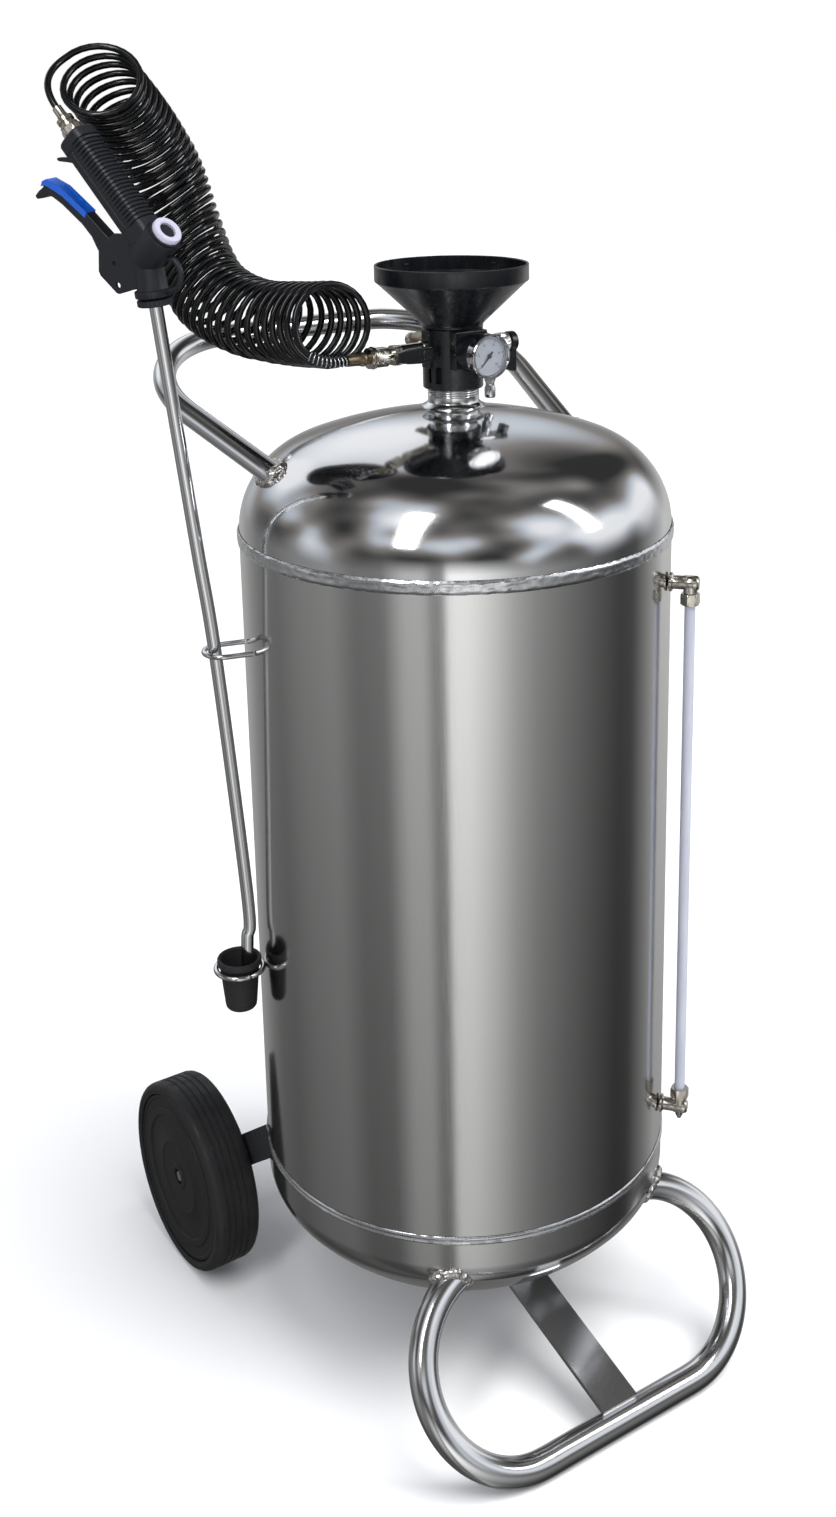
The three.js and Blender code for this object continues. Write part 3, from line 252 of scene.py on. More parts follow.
def steel(name, slot, base, roughness, grain_mm, stretch, grain_depth, wave_mm, wave_depth, scratch=0.0):
    # Stainless steel: fine grain, slow waves of the sheet, and thin bright scratches.
    made, tree, shader = finish(name, slot, base, 1.0, roughness)
    grain = pattern(tree, grain_mm, stretch, Detail=3.0).outputs[0]
    vary(tree, shader, "Roughness", grain, roughness * 0.8, roughness * 1.25)
    waves = pattern(tree, wave_mm, Detail=1.0).outputs[0]
    under = emboss(tree, shader, waves, wave_depth)
    under = emboss(tree, shader, grain, grain_depth, under=under)
    if scratch:
        lines = pattern(tree, 26, (0.06, 0.06, 1.6), "ShaderNodeTexVoronoi", Randomness=1.0).outputs[0]
        thin = add(tree, "ShaderNodeMapRange", {0: lines, 1: 0.0, 2: 0.05, 3: scratch, 4: 0.0}).outputs[0]
        tint = add(
            tree, "ShaderNodeMix", {0: thin, 6: colour(base), 7: colour("#ffffff")}, data_type="RGBA"
        )
        tree.links.new(tint.outputs[2], shader.inputs["Base Color"])
    return made


def make(name, shape, material, body, nodes=(), sharp=35, bevel=0.0):
    # An object from vertices in millimetres about the tank's axis, with smooth faces and sharp edges kept.
    verts, faces = shape
    mesh = bpy.data.meshes.new(name)
    mesh.from_pydata([metres(v) for v in verts], [], faces)
    mesh.update()
    made = bpy.data.objects.new(name, mesh)
    scene.collection.objects.link(made)
    mesh.materials.append(material)
    mesh.shade_smooth()
    if bevel:
        edge = made.modifiers.new("edges", "BEVEL")
        edge.width = bevel / 1000
        edge.segments = 3
        edge.limit_method = "ANGLE"
        edge.angle_limit = math.radians(38)
        edge.harden_normals = True
    mesh.set_sharp_from_angle(angle=math.radians(sharp))
    if body:
        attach(made, body)
    if nodes:
        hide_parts(*nodes)
    return made


def towards(direction, at=(0, 0, 0)):
    # Turns +Z to a direction and moves to a point.
    turn_to = Vector((0, 0, 1)).rotation_difference(Vector(direction).normalized()).to_matrix().to_4x4()
    return Matrix.Translation(Vector(at)) @ turn_to


def moved(shape, matrix):
    return [matrix @ Vector(v) for v in shape[0]], shape[1]


def together(*shapes):
    verts, faces = [], []
    for more, sides in shapes:
        faces += [tuple(i + len(verts) for i in side) for side in sides]
        verts += list(more)
    return verts, faces


def lathe(outline, sides=96, matrix=None, ripple=None):
    # A turned shape about +Z from [radius, height] pairs; closed where the outline ends where it starts.
    closed = Vector(outline[0]) == Vector(outline[-1])
    rings = outline[:-1] if closed else outline
    verts, faces, index = [], [], []
    for r, z in rings:
        if r < 1e-6:
            index.append([len(verts)] * sides)
            verts.append(Vector((0, 0, z)))
            continue
        row = []
        for i in range(sides):
            t = 2 * math.pi * i / sides
            wide = r + (ripple(t, r, z) if ripple else 0)
            row.append(len(verts))
            verts.append(Vector((wide * math.cos(t), wide * math.sin(t), z)))
        index.append(row)
    spans = len(rings) if closed else len(rings) - 1
    for k in range(spans):
        low, high = index[k], index[(k + 1) % len(rings)]
        for i in range(sides):
            j = (i + 1) % sides
            face = [low[i], low[j], high[j], high[i]]
            face = [v for n, v in enumerate(face) if v != face[n - 1]]
            if len(face) > 2:
                faces.append(tuple(face))
    return moved((verts, faces), matrix) if matrix else (verts, faces)


mill_steel = steel(
    "stainless_mill_finish", "brushed_steel", "#c6c6c6", 0.135, 0.5, (1, 1, 60), 0.0006, 95, 0.16,
    scratch=0.35
)
# Even but not mirror-like: tall reflections with soft edges, broken by upright hairlines.
shell = [(TANK_R - WALL, LOW_SEAM + 0.2), (TANK_R, LOW_SEAM + 0.2)]
shell += [(TANK_R, LOW_SEAM + (HIGH_SEAM - LOW_SEAM) * i / 12) for i in range(1, 12)]
shell += [(TANK_R, HIGH_SEAM - 0.2), (TANK_R - WALL, HIGH_SEAM - 0.2), (TANK_R - WALL, LOW_SEAM + 0.2)]
make("shell_sheet", lathe(shell, 192), mill_steel, "frame", ["tank_shell"])

# ---- Heads ----
# Two dished ends spun from stainless sheet, the upper one polished, with a tight radius at the rim and
# a broad crown. They are butt-welded to the shell.

TOP_HEAD = (420.0, 85.0, 3.0)
LOW_HEAD = (245.0, 42.0, 28.0)


def head_height(head, r):
    # Height of a head's outside above its seam, at a radius.
    crown, knuckle, flange = head
    inner = TANK_R - knuckle
    drop = math.sqrt((crown - knuckle) ** 2 - inner ** 2)
    if r <= crown * inner / (crown - knuckle):
        return flange - drop + math.sqrt(crown ** 2 - r ** 2)
    return flange + math.sqrt(max(0.0, knuckle ** 2 - (r - inner) ** 2))


def head(which, seam, side, hole):
    crown, knuckle, flange = which
    inner = TANK_R - knuckle
    lean = math.asin(inner / (crown - knuckle))
    outside = [(TANK_R, 0.2), (TANK_R, flange)]
    for i in range(1, 17):
        t = (math.pi / 2 - lean) * i / 16
        outside.append((inner + knuckle * math.cos(t), flange + knuckle * math.sin(t)))
    for i in range(1, 25):
        r = crown * math.sin(lean) * (1 - i / 24) + hole * i / 24
        outside.append((r, head_height(which, r)))
    inside = [(r * (1 - WALL / TANK_R), z - WALL if z > 1 else z) for r, z in outside]
    outline = inside[::-1] + outside
    if hole:
        outline.append(outline[0])
    return lathe([(r, seam + side * z) for r, z in outline], 192)


polished_steel = steel(
    "stainless_polished_head", "polished_steel", "#d0d1d3", 0.10, 0.7, (1, 1, 1), 0.0006, 60, 0.14,
    scratch=0.3
)
# Close to a mirror with slow waves, so that the room bends in it, and a few pits and scratches.
make("upper_head", head(TOP_HEAD, HIGH_SEAM, 1, 23.8), polished_steel, "frame", ["top_head"])
make("lower_head", head(LOW_HEAD, LOW_SEAM, -1, 0), mill_steel, "frame", ["bottom_head"])

# ---- Seam welds ----
# The beads that join the heads to the shell, run by machine and then brushed. The upper one is broad and
# rippled, and the lower one shows two bright edges with a shallow valley between them.


def bead(seam, width, proud, valley, rough):
    outline = [(TANK_R + 0.3, -width / 2)]
    for i in range(9):
        t = -1 + i / 4
        lift = proud * (1 - t ** 4) * (1 - valley * math.cos(t * math.pi / 2) ** 6)
        outline.append((TANK_R + 0.4 + lift, t * width / 2 * 0.97))
    outline += [(TANK_R + 0.3, width / 2), outline[0]]

    def ripple(t, r, z):
        if r < TANK_R + 0.35:
            return 0
        spot = Vector((math.cos(t) * 26, math.sin(t) * 26, z * 0.35))
        return rough * noise.noise(spot) + rough * 0.4 * noise.noise(spot * 3.1)

    shape = lathe(outline, 720, None, ripple)
    return moved(shape, Matrix.Translation((0, 0, seam)))


weld_steel = steel("stainless_brushed_weld", "ground_weld", "#d2d4d7", 0.26, 1.2, (1, 1, 1), 0.05, 9, 0.15)
# Duller than the sheet and slightly straw-coloured, with a grain that glitters.
make("upper_seam", bead(HIGH_SEAM, 12.5, 1.7, 0.25, 0.55), weld_steel, "frame", ["top_seam_weld"])
make("lower_seam", bead(LOW_SEAM, 8.5, 1.3, 0.75, 0.12), weld_steel, "frame", ["bottom_seam_weld"])

# ---- Filler neck, gasket and dip tube ----
# A turned stainless neck with a pipe thread, welded into the upper head through a flared flange. A
# rubber ring seals it to the filler body. The dip tube inside takes the liquid from the tank's bottom.

CROWN = HIGH_SEAM + head_height(TOP_HEAD, 0)
BODY_Z = CROWN + 22
BODY_TOP = BODY_Z + 55
PORT_Z = BODY_Z + 35
neck = [(19, CROWN - 10), (23.5, CROWN - 10), (23.5, CROWN + 1), (25.2, CROWN + 3.2), (29.2, CROWN + 4.2)]
neck += [
    (29.5, CROWN + 4.8), (29.0, CROWN + 5.6), (26.5, CROWN + 6.6), (24.0, CROWN + 9.0), (23.3, CROWN + 11)
]
neck += [(23.3, CROWN + 14.5)]
for i in range(9):
    pitch = 2.1
    base = CROWN + 15 + i * pitch
    neck += [
        (22.6, base), (23.5, base + pitch * 0.4), (23.5, base + pitch * 0.6), (22.6, base + pitch * 0.98)
    ]
neck += [(22.8, CROWN + 38), (19, CROWN + 38), (19, CROWN - 10)]
turned_steel = steel(
    "stainless_turned", "polished_steel", "#d3d4d5", 0.14, 0.25, (40, 40, 1), 0.001, 60, 0.02
)
# Bright, with lathe lines round it.
make("neck", lathe(neck, 96), turned_steel, "frame", ["filler_neck"], sharp=25)


def repaint(material, *nodes):
    # A CAD node that keeps its own shape and takes a better finish.
    for name in nodes:
        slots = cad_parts[name].data.materials
        slots.clear()
        slots.append(material)


soft_rubber, tree, shader = finish("nitrile_rubber", "soft_black", "#1d1d1f", 0.0, 0.62)
grit = pattern(tree, 1.6, Detail=4.0).outputs[0]
vary(tree, shader, "Roughness", grit, 0.52, 0.72)
emboss(tree, shader, grit, 0.04)
# Matt and faintly dusty.
repaint(soft_rubber, "neck_gasket")
repaint(turned_steel, "dip_tube", "valve_ball")

# ---- Filler body ----
# One moulding in glossy black polyamide, screwed on to the neck. It has a pad for each port and a round
# boss in front for the gauge, and two small slots low on its left.


def bar(size, at=(0, 0, 0), matrix=None):
    # A rectangular bar by size and centre; its edges are rounded when it is made.
    x, y, z = (s / 2 for s in size)
    verts = [
        Vector((at[0] + i * x, at[1] + j * y, at[2] + k * z)) for k in (-1, 1) for j in (-1, 1)
        for i in (-1, 1)
    ]
    faces = [(0, 2, 3, 1), (4, 5, 7, 6), (0, 1, 5, 4), (2, 6, 7, 3), (0, 4, 6, 2), (1, 3, 7, 5)]
    return moved((verts, faces), matrix) if matrix else (verts, faces)


def carve(target, shape):
    # Cuts a shape out of an object that has been made.
    tool = make("tool", shape, target.data.materials[0], None)
    cutter = target.modifiers.new("cut", "BOOLEAN")
    cutter.operation = "DIFFERENCE"
    cutter.solver = "EXACT"
    cutter.object = tool
    bpy.context.view_layer.objects.active = target
    target.select_set(True)
    bpy.ops.object.modifier_apply(modifier="cut")
    target.select_set(False)
    bpy.data.objects.remove(tool)
    target.data.set_sharp_from_angle(angle=math.radians(30))


black_nylon, tree, shader = finish(
    "black_polyamide", "black_plastic", "#0e1116", 0.0, 0.3, Specular_IOR_Level=0.55
)
mould = pattern(tree, 5.0, Detail=3.0).outputs[0]
vary(tree, shader, "Roughness", mould, 0.22, 0.36)
emboss(tree, shader, mould, 0.012)
# Cool black with a soft gloss, and slight flow marks from the mould.

barrel = lathe(
    [
        (0, BODY_Z), (26.6, BODY_Z), (27.5, BODY_Z + 0.9), (27.5, BODY_TOP - 0.8), (26.7, BODY_TOP),
        (0, BODY_TOP)
    ],
    96
)
boss = lathe(
    [(0, 10), (17.6, 12), (17.6, 30), (17, 46.4), (16.4, 47.6), (0, 48)], 72,
    towards((0, -1, 0), (0, 0, PORT_Z))
)
pads = [
    bar((22, 12, 34), (19, 0, BODY_TOP - 18), Matrix.Rotation(math.radians(a), 4, "Z"))
    for a in (0, 90, 180)
]
pads.append(bar((35, 20, 34), (0, -20, BODY_TOP - 18)))
core = make("valve_block", barrel, black_nylon, "frame", ["filler_body"])
carve(
    core,
    together(bar((3.2, 14, 15), (-24, -15, BODY_Z + 14)), bar((14, 3.2, 15), (-26, -3.5, BODY_Z + 14)))
)
make("valve_block_boss", boss, black_nylon, "frame")
make("valve_block_pads", together(*pads), black_nylon, "frame", bevel=0.9)

# ---- Funnel ----
# A black polypropylene funnel with a deep straight rim, screwed to the top of the body. Three small
# catches inside the rim hold a strainer.

FUNNEL_Z = BODY_TOP + 0.3
funnel = [
    (14, FUNNEL_Z), (27.5, FUNNEL_Z), (28, FUNNEL_Z + 0.5), (28, FUNNEL_Z + 2.4), (28.6, FUNNEL_Z + 3.4)
]
funnel += [(67.4, FUNNEL_Z + 40.2), (69.0, FUNNEL_Z + 41.2), (69.5, FUNNEL_Z + 42), (69.5, FUNNEL_Z + 55.4)]
funnel += [(69.0, FUNNEL_Z + 56), (67.6, FUNNEL_Z + 56), (67.1, FUNNEL_Z + 55.4), (66.8, FUNNEL_Z + 43.2)]
funnel += [
    (65.4, FUNNEL_Z + 41.6), (28, FUNNEL_Z + 6.5), (17, FUNNEL_Z + 4.2), (14, FUNNEL_Z + 4),
    (14, FUNNEL_Z)
]
black_pp, tree, shader = finish("black_polypropylene", "black_plastic", "#101216", 0.0, 0.3)
flow = pattern(tree, 7.0, (1, 1, 4), Detail=2.0).outputs[0]
vary(tree, shader, "Roughness", flow, 0.2, 0.32)
emboss(tree, shader, flow, 0.012)
# Satin black that greys where it catches the light, with faint streaks down the cone.
make("filling_funnel", lathe(funnel, 160), black_pp, "frame", ["funnel"])
catches = [
    bar(
        (1.4, 5, 1.6), (66.4, 0, FUNNEL_Z + 50), Matrix.Rotation(math.radians(a), 4, "Z")
    ) for a in (20, 95, 150, 255)
]
make("strainer_catches", together(*catches), soft_rubber, "frame", bevel=0.3)

# ---- Fill plug ----
# A rubber-sealed plug with a ribbed knob that closes the filling hole in the funnel's throat.


def knurl(count, depth):
    return lambda t, r, z: depth * (0.5 + 0.5 * math.cos(count * t)) if r > 11 else 0


plug = [(0, FUNNEL_Z - 14), (8.6, FUNNEL_Z - 14), (8.65, FUNNEL_Z), (13.6, FUNNEL_Z), (13.6, FUNNEL_Z + 4)]
plug += [(13, FUNNEL_Z + 4.5), (4.2, FUNNEL_Z + 5.5), (4, FUNNEL_Z + 21), (11, FUNNEL_Z + 21.5)]
plug += [(11.8, FUNNEL_Z + 22.5), (11.8, FUNNEL_Z + 28.8), (10.6, FUNNEL_Z + 30), (0, FUNNEL_Z + 30)]
make("throat_plug", lathe(plug, 96, None, knurl(24, -0.7)), soft_rubber, "plug", ["fill_plug"])

# ---- Pressure gauge ----
# A 40 mm dial gauge with a chromed pressed case, a printed tin dial, a black pointer and a glass lens.

GAUGE_FRONT = 48.3 + 13
facing_out = towards((0, -1, 0), (0, 0, PORT_Z))
case = [
    (0, 44), (4.5, 44), (4.5, 48.3), (18.2, 48.3), (19, 49.3), (19, 57.2), (19.3, 58), (20, 58.6),
    (20, 60.6)
]
case += [
    (19.4, GAUGE_FRONT), (18.6, GAUGE_FRONT), (17.7, GAUGE_FRONT - 1), (17.6, GAUGE_FRONT - 8),
    (0, GAUGE_FRONT - 8)
]
chrome, tree, shader = finish("chromed_brass", "nickel", "#d5d6d8", 1.0, 0.07)
smear = pattern(tree, 6, Detail=2.0).outputs[0]
vary(tree, shader, "Roughness", smear, 0.04, 0.13)
emboss(tree, shader, smear, 0.02)
# A clean bright mirror with slight finger marks.
make("gauge_housing", lathe(case, 96, facing_out), chrome, "frame", ["gauge_case"])

dial_paint, tree, shader = finish("printed_dial_enamel", "dial", "#ccd3df", 0.0, 0.55)
speckle = pattern(tree, 0.9, Detail=2.0).outputs[0]
shade = add(
    tree, "ShaderNodeMix", {0: speckle, 6: colour("#c2cad8"), 7: colour("#d6dce6")}, data_type="RGBA"
)
tree.links.new(shade.outputs[2], shader.inputs["Base Color"])
emboss(tree, shader, speckle, 0.01)
# Pale blue-grey and dead flat.
DIAL = GAUGE_FRONT - 5
face = lathe(
    [(1.4, DIAL - 0.8), (17.3, DIAL - 0.8), (17.3, DIAL), (1.4, DIAL), (1.4, DIAL - 0.8)], 96, facing_out
)
make("gauge_face", face, dial_paint, "frame", ["gauge_dial"])
black_ink, tree, shader = finish("black_enamel", "black_paint", "#121316", 0.0, 0.35)
emboss(tree, shader, pattern(tree, 0.8, Detail=2.0).outputs[0], 0.01)
# Dense black with a slight shine.
marks = []
for i in range(51):
    t = math.radians(225 - 270 * i / 50)
    long = 2.8 if i % 10 == 0 else (1.9 if i % 5 == 0 else 1.1)
    turn_mark = Matrix.Rotation(t, 4, "Z")
    marks.append(
        bar((long, 0.42 if i % 10 == 0 else 0.2, 0.1), (15.8 - long / 2, 0, DIAL + 0.06), turn_mark)
    )
for i in range(60):
    t = math.radians(225 - 270 * (i + 0.5) / 60)
    marks.append(bar((0.22, 0.95, 0.1), (15.9, 0, DIAL + 0.06), Matrix.Rotation(t, 4, "Z")))
make("gauge_scale", moved(together(*marks), facing_out), black_ink, "frame")
for i in range(6):
    t = math.radians(225 - 54 * i)
    text = bpy.data.curves.new(f"gauge_number_{i}", "FONT")
    text.body = str(i * 2)
    text.size = 0.0034
    text.extrude = 0.00003
    text.align_x = "CENTER"
    text.align_y = "CENTER"
    number = bpy.data.objects.new(f"gauge_number_{i}", text)
    scene.collection.objects.link(number)
    text.materials.append(black_ink)
    spot = metres((11 * math.cos(t), -(DIAL + 0.08), PORT_Z + 11 * math.sin(t)))
    number.matrix_world = Matrix.Translation(spot) @ Matrix.Rotation(math.pi / 2, 4, "X")
    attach(number, "frame")
pointer_tilt = Matrix.Rotation(math.radians(138), 4, "Z")
needle = [(-0.7, -5), (0.7, -5), (1.0, 0), (0.2, 13), (-0.2, 13), (-1.0, 0)]
needle_faces = [(5, 4, 3, 2, 1, 0), (6, 7, 8, 9, 10, 11)]
needle_faces += [(i, (i + 1) % 6, (i + 1) % 6 + 6, i + 6) for i in range(6)]
pointer = together(
    moved(
        (
            [Vector((x, y, z)) for z in (0, 0.5) for x, y in needle],
            needle_faces,
        ),
        Matrix.Translation((0, 0, DIAL + 0.8)) @ pointer_tilt,
    ),
    lathe(
        [
            (0, DIAL - 2), (1, DIAL - 2), (1, DIAL + 0.7), (2.1, DIAL + 0.7), (2.1, DIAL + 1.5),
            (1.6, DIAL + 1.8), (0, DIAL + 1.8)
        ],
        32
    ),
)
make("gauge_pointer", moved(pointer, facing_out), black_ink, "gauge_pointer", ["gauge_needle"])
window_glass, tree, shader = finish(
    "clear_glass", "lens", "#ffffff", 0.0, 0.02, IOR=1.5, Transmission_Weight=1.0
)
emboss(tree, shader, pattern(tree, 9, Detail=1.0).outputs[0], 0.004)
# Clear, seen only by its reflections.
lens_shape = lathe(
    [(0, GAUGE_FRONT - 2), (17.3, GAUGE_FRONT - 2), (17.3, GAUGE_FRONT - 1.2), (0, GAUGE_FRONT - 1)], 96,
    facing_out
)
make("gauge_window", lens_shape, window_glass, "frame", ["gauge_lens"])

# ---- Outlet valve, union and hose tail ----
# A nickel-plated brass ball valve screwed into the body's left port, with a black nylon lever in front. A
# hexagonal union nut holds the bare brass tail that the hose is pushed on to.

out_left = towards((-1, 0, 0), (0, 0, PORT_Z))


def hexagon(across, low, high, chamfer=0.8, bore=0.0):
    # A six-sided nut along +Z with chamfered corners.
    def flats(t, r, z):
        if r <= bore + 0.1:
            return 0
        a = (t + math.pi / 6) % (math.pi / 3) - math.pi / 6
        return min(0.0, across / 2 / math.cos(a) - r)

    r = across / math.sqrt(3)
    outline = [
        (bore, low), (r - chamfer, low), (r, low + chamfer), (r, high - chamfer), (r - chamfer, high)
    ]
    outline += [(bore, high)] + ([(bore, low)] if bore else [])
    return lathe(outline, 72, None, flats)


nickel, tree, shader = finish("nickel_plate", "nickel", "#cbc6bc", 1.0, 0.16)
tarnish = pattern(tree, 3.5, Detail=4.0).outputs[0]
vary(tree, shader, "Roughness", tarnish, 0.1, 0.26)
emboss(tree, shader, tarnish, 0.03)
# Warm silver, a little dull where hands have been.
brass_bare, tree, shader = finish("brass_tarnished", "brass", "#8a7350", 1.0, 0.32)
dull = pattern(tree, 2.4, Detail=4.0).outputs[0]
shade = add(tree, "ShaderNodeMix", {0: dull, 6: colour("#685d4d"), 7: colour("#988b76")}, data_type="RGBA")
tree.links.new(shade.outputs[2], shader.inputs["Base Color"])
vary(tree, shader, "Roughness", dull, 0.26, 0.42)
emboss(tree, shader, dull, 0.03)
# Brownish yellow metal, duller than the plating.

valve = together(
    lathe(
        [(6.7, 16.3), (6.7, 29), (9.3, 30.4), (9.9, 31), (9.9, 34.6), (9.3, 35.2), (8.8, 36), (8.8, 58)],
        64
    ),
    hexagon(17, 57.8, 65.6),
    lathe([(6, 65), (6, 81.4), (3.6, 81.7)], 48),
)
make("outlet_valve", moved(valve, out_left), nickel, "frame", ["outlet_valve_body"])
wing = [
    (-31.5, -4.6), (-34, -6.8), (-44, -7.2), (-58, -6.4), (-69, -4.2), (-70.2, 0), (-69, 4.6), (-57, 6.6),
    (-42, 7.4), (-34, 7.0), (-31.5, 4.8)
]


def prism(outline, low, high, matrix=None):
    # A flat outline in X and Y given a height along Z.
    count = len(outline)
    verts = [Vector((x, y, low)) for x, y in outline] + [Vector((x, y, high)) for x, y in outline]
    faces = [tuple(range(count))[::-1], tuple(range(count, 2 * count))]
    faces += [(i, (i + 1) % count, (i + 1) % count + count, i + count) for i in range(count)]
    return moved((verts, faces), matrix) if matrix else (verts, faces)


upright_plane = Matrix(((1, 0, 0, 0), (0, 0, -1, 0), (0, 1, 0, PORT_Z), (0, 0, 0, 1)))
lever = together(
    prism(wing, 11.6, 17.6, upright_plane),
    lathe(
        [(0, 6.2), (2, 6.4), (2, 12), (6.2, 12), (6.2, 18.4), (5.4, 19), (0, 19)], 40,
        towards((0, -1, 0), (-38, 0, PORT_Z))
    ),
)
make("outlet_valve_lever", lever, black_nylon, "outlet_handle", ["outlet_lever"], bevel=0.9)
nut = together(
    moved(hexagon(16.4, 71, 84, 1.0, 6.6), Matrix.Identity(4)),
    lathe(
        [
            (6.6, 84), (9.6, 84), (10.1, 84.6), (10.1, 86), (9.4, 86.6), (7.6, 86.8), (7.6, 88.4),
            (9.2, 88.6), (9.4, 89.6), (8.8, 90), (4.9, 90)
        ],
        64
    ),
)
make("hose_union_nut", moved(nut, out_left), nickel, "frame", ["union_nut"])
tail = lathe(
    [
        (4.6, 82), (4.6, 92), (6.2, 94), (6.4, 95), (6.3, 97), (5.6, 98), (5.2, 104), (5.0, 111.6),
        (3.3, 112), (3.3, 100)
    ],
    48, out_left
)
make("brass_hose_tail", tail, brass_bare, "frame", ["hose_tail"])

# ---- Air inlet valve and safety valve ----
# Compressed air goes in through a push-on nipple under the right-hand valve, which has a black lever. A
# small brass safety valve stands at the back and lets out too high a pressure.

out_right = towards((1, 0, 0), (0, 0, PORT_Z))
inlet = together(
    lathe([(6.7, 16.3), (6.7, 29), (8.6, 30.4), (9.1, 31), (9.1, 34), (8.5, 34.8), (8.5, 50)], 64),
    hexagon(16.6, 49.8, 59.6),
)
stem = lathe(
    [
        (2, PORT_Z - 50), (4.4, PORT_Z - 50), (5.2, PORT_Z - 49), (5.3, PORT_Z - 41), (4.3, PORT_Z - 39),
        (4.3, PORT_Z - 36), (5.3, PORT_Z - 34), (5.3, PORT_Z - 6)
    ],
    48, Matrix.Translation((41, 0, 0))
)
make("air_inlet_valve", together(moved(inlet, out_right), stem), chrome, "frame", ["inlet_valve_body"])
knob = together(
    lathe(
        [(0, 50), (3, 50), (3, 60.4), (8.8, 60.4), (9.5, 61.2), (9.5, 67.4), (8.6, 68.2), (0, 68.2)], 48,
        out_right
    ),
    bar((5.6, 12.5, 27), (64.4, 0, PORT_Z - 13.5)),
)
make("air_inlet_lever", knob, black_nylon, "inlet_handle", ["inlet_lever"], bevel=0.8)
out_back = towards((0, 1, 0), (0, 0, PORT_Z))
relief = together(
    lathe([(6.7, 16.3), (6.7, 29), (8.2, 30.3), (8.2, 32)], 48),
    hexagon(16.6, 31.5, 41),
    lathe([(7.6, 41), (8.6, 42.4), (8.6, 57), (7.8, 58.6), (7.8, 60), (2, 60)], 48),
)
make("relief_valve", moved(relief, out_back), brass_bare, "frame", ["safety_valve_body"])
cap = lathe([(4.6, 37), (4.6, 60.3), (6.6, 60.4), (7, 61), (7, 69.6), (5.6, 71), (0, 71)], 48, out_back)
make("relief_valve_cap", cap, nickel, "frame", ["safety_valve_cap"])

# ---- Level tube ----
# A milky plastic tube that shows the liquid, held between two nickel-plated elbows with ring nuts. The
# lower elbow ends in a small drain point.

LEVEL_TURN = math.radians(-50)
LEVEL_X, LEVEL_Y = 220 * math.cos(LEVEL_TURN), 220 * math.sin(LEVEL_TURN)
outward = (math.cos(LEVEL_TURN), math.sin(LEVEL_TURN), 0)
sight = Matrix.Translation((LEVEL_X, LEVEL_Y, 0))


def level_arm(z):
    arm = [
        (4, 200.6), (7.4, 200.7), (8.8, 201.2), (8.8, 203.4), (7.2, 204.2), (6.4, 205), (6.4, 214),
        (7.0, 215)
    ]
    arm += [(7.0, 225.5), (6.2, 227), (5.0, 228), (0, 228.2)]
    return lathe(arm, 48, towards(outward, (0, 0, z)))


top_elbow = together(level_arm(785), moved(lathe([(5.2, 775.8), (6.4, 776), (6.6, 785)], 40), sight))
make("level_elbow_top", top_elbow, nickel, "frame", ["level_fitting_top"])
drain = [(0, 233), (1.6, 233.4), (3.8, 238), (3.8, 241), (5.0, 243), (6.5, 246)]
low_elbow = together(
    level_arm(247), moved(lathe(drain, 40), sight),
    moved(lathe([(6.5, 247), (6.5, 255.6), (5.4, 255.8)], 40), sight)
)
make("level_elbow_bottom", low_elbow, nickel, "frame", ["level_fitting_bottom"])
for end, low, high in (("top", 764.8, 775.6), ("bottom", 256.4, 267.2)):
    ring = hexagon(15.8, low, high, 1.0, 5.4)
    make(f"level_ring_{end}", moved(ring, sight), nickel, "frame", [f"level_nut_{end}"])
milky, tree, shader = finish(
    "milky_polyamide_tube", "milky_tube", "#d9dde9", 0.0, 0.28, Transmission_Weight=0.35, IOR=1.45
)
cloud = pattern(tree, 12, (1, 1, 6), Detail=3.0).outputs[0]
shade = add(tree, "ShaderNodeMix", {0: cloud, 6: colour("#c3c8d8"), 7: colour("#eceef6")}, data_type="RGBA")
tree.links.new(shade.outputs[2], shader.inputs["Base Color"])
emboss(tree, shader, cloud, 0.03)
# Cloudy and slightly blue, so that only a liquid behind it would show.
tube_shape = lathe([(3.8, 250.6), (5, 250.6), (5, 781.4), (3.8, 781.4), (3.8, 250.6)], 40)
make("sight_tube", moved(tube_shape, sight), milky, "frame", ["level_tube"])

# ---- Push handle ----
# Half-inch stainless pipe bent to a broad bow and welded to the upper head at both ends.


def spline(points, steps):
    # A smooth line through the points, with steps pieces between each two.
    points = [Vector(p) for p in points]
    padded = [points[0] * 2 - points[1], *points, points[-1] * 2 - points[-2]]
    line = []
    for i in range(1, len(padded) - 2):
        a, b, c, d = padded[i - 1:i + 3]
        for k in range(steps):
            t = k / steps
            line.append(
                0.5 * (
                    2 * b + (c - a) * t + (2 * a - 5 * b + 4 * c - d) * t * t
                    + (3 * b - a - 3 * c + d) * t ** 3
                )
            )
    line.append(points[-1])
    return line


def pipe(line, radius, sides=24, closed=False, ripple=None):
    # A round tube along a line of points.
    count = len(line)
    ahead_of = [
        (
            line[
                (i + 1) % count if closed else min(i + 1, count - 1)
            ] - line[i - 1 if closed else max(i - 1, 0)]
        ).normalized()
        for i in range(count)
    ]
    side_way = ahead_of[0].orthogonal().normalized()
    verts = []
    for i, (spot, way) in enumerate(zip(line, ahead_of)):
        side_way = (side_way - way * side_way.dot(way)).normalized()
        up_way = way.cross(side_way)
        for k in range(sides):
            t = 2 * math.pi * k / sides
            r = radius(i) if callable(radius) else radius
            if ripple:
                r += ripple(spot, t)
            verts.append(spot + side_way * (r * math.cos(t)) + up_way * (r * math.sin(t)))
    faces = []
    for i in range(count if closed else count - 1):
        for k in range(sides):
            j, m = (i + 1) % count, (k + 1) % sides
            faces.append((i * sides + k, i * sides + m, j * sides + m, j * sides + k))
    if not closed:
        faces.append(tuple(range(sides))[::-1])
        faces.append(tuple((count - 1) * sides + k for k in range(sides)))
    return verts, faces


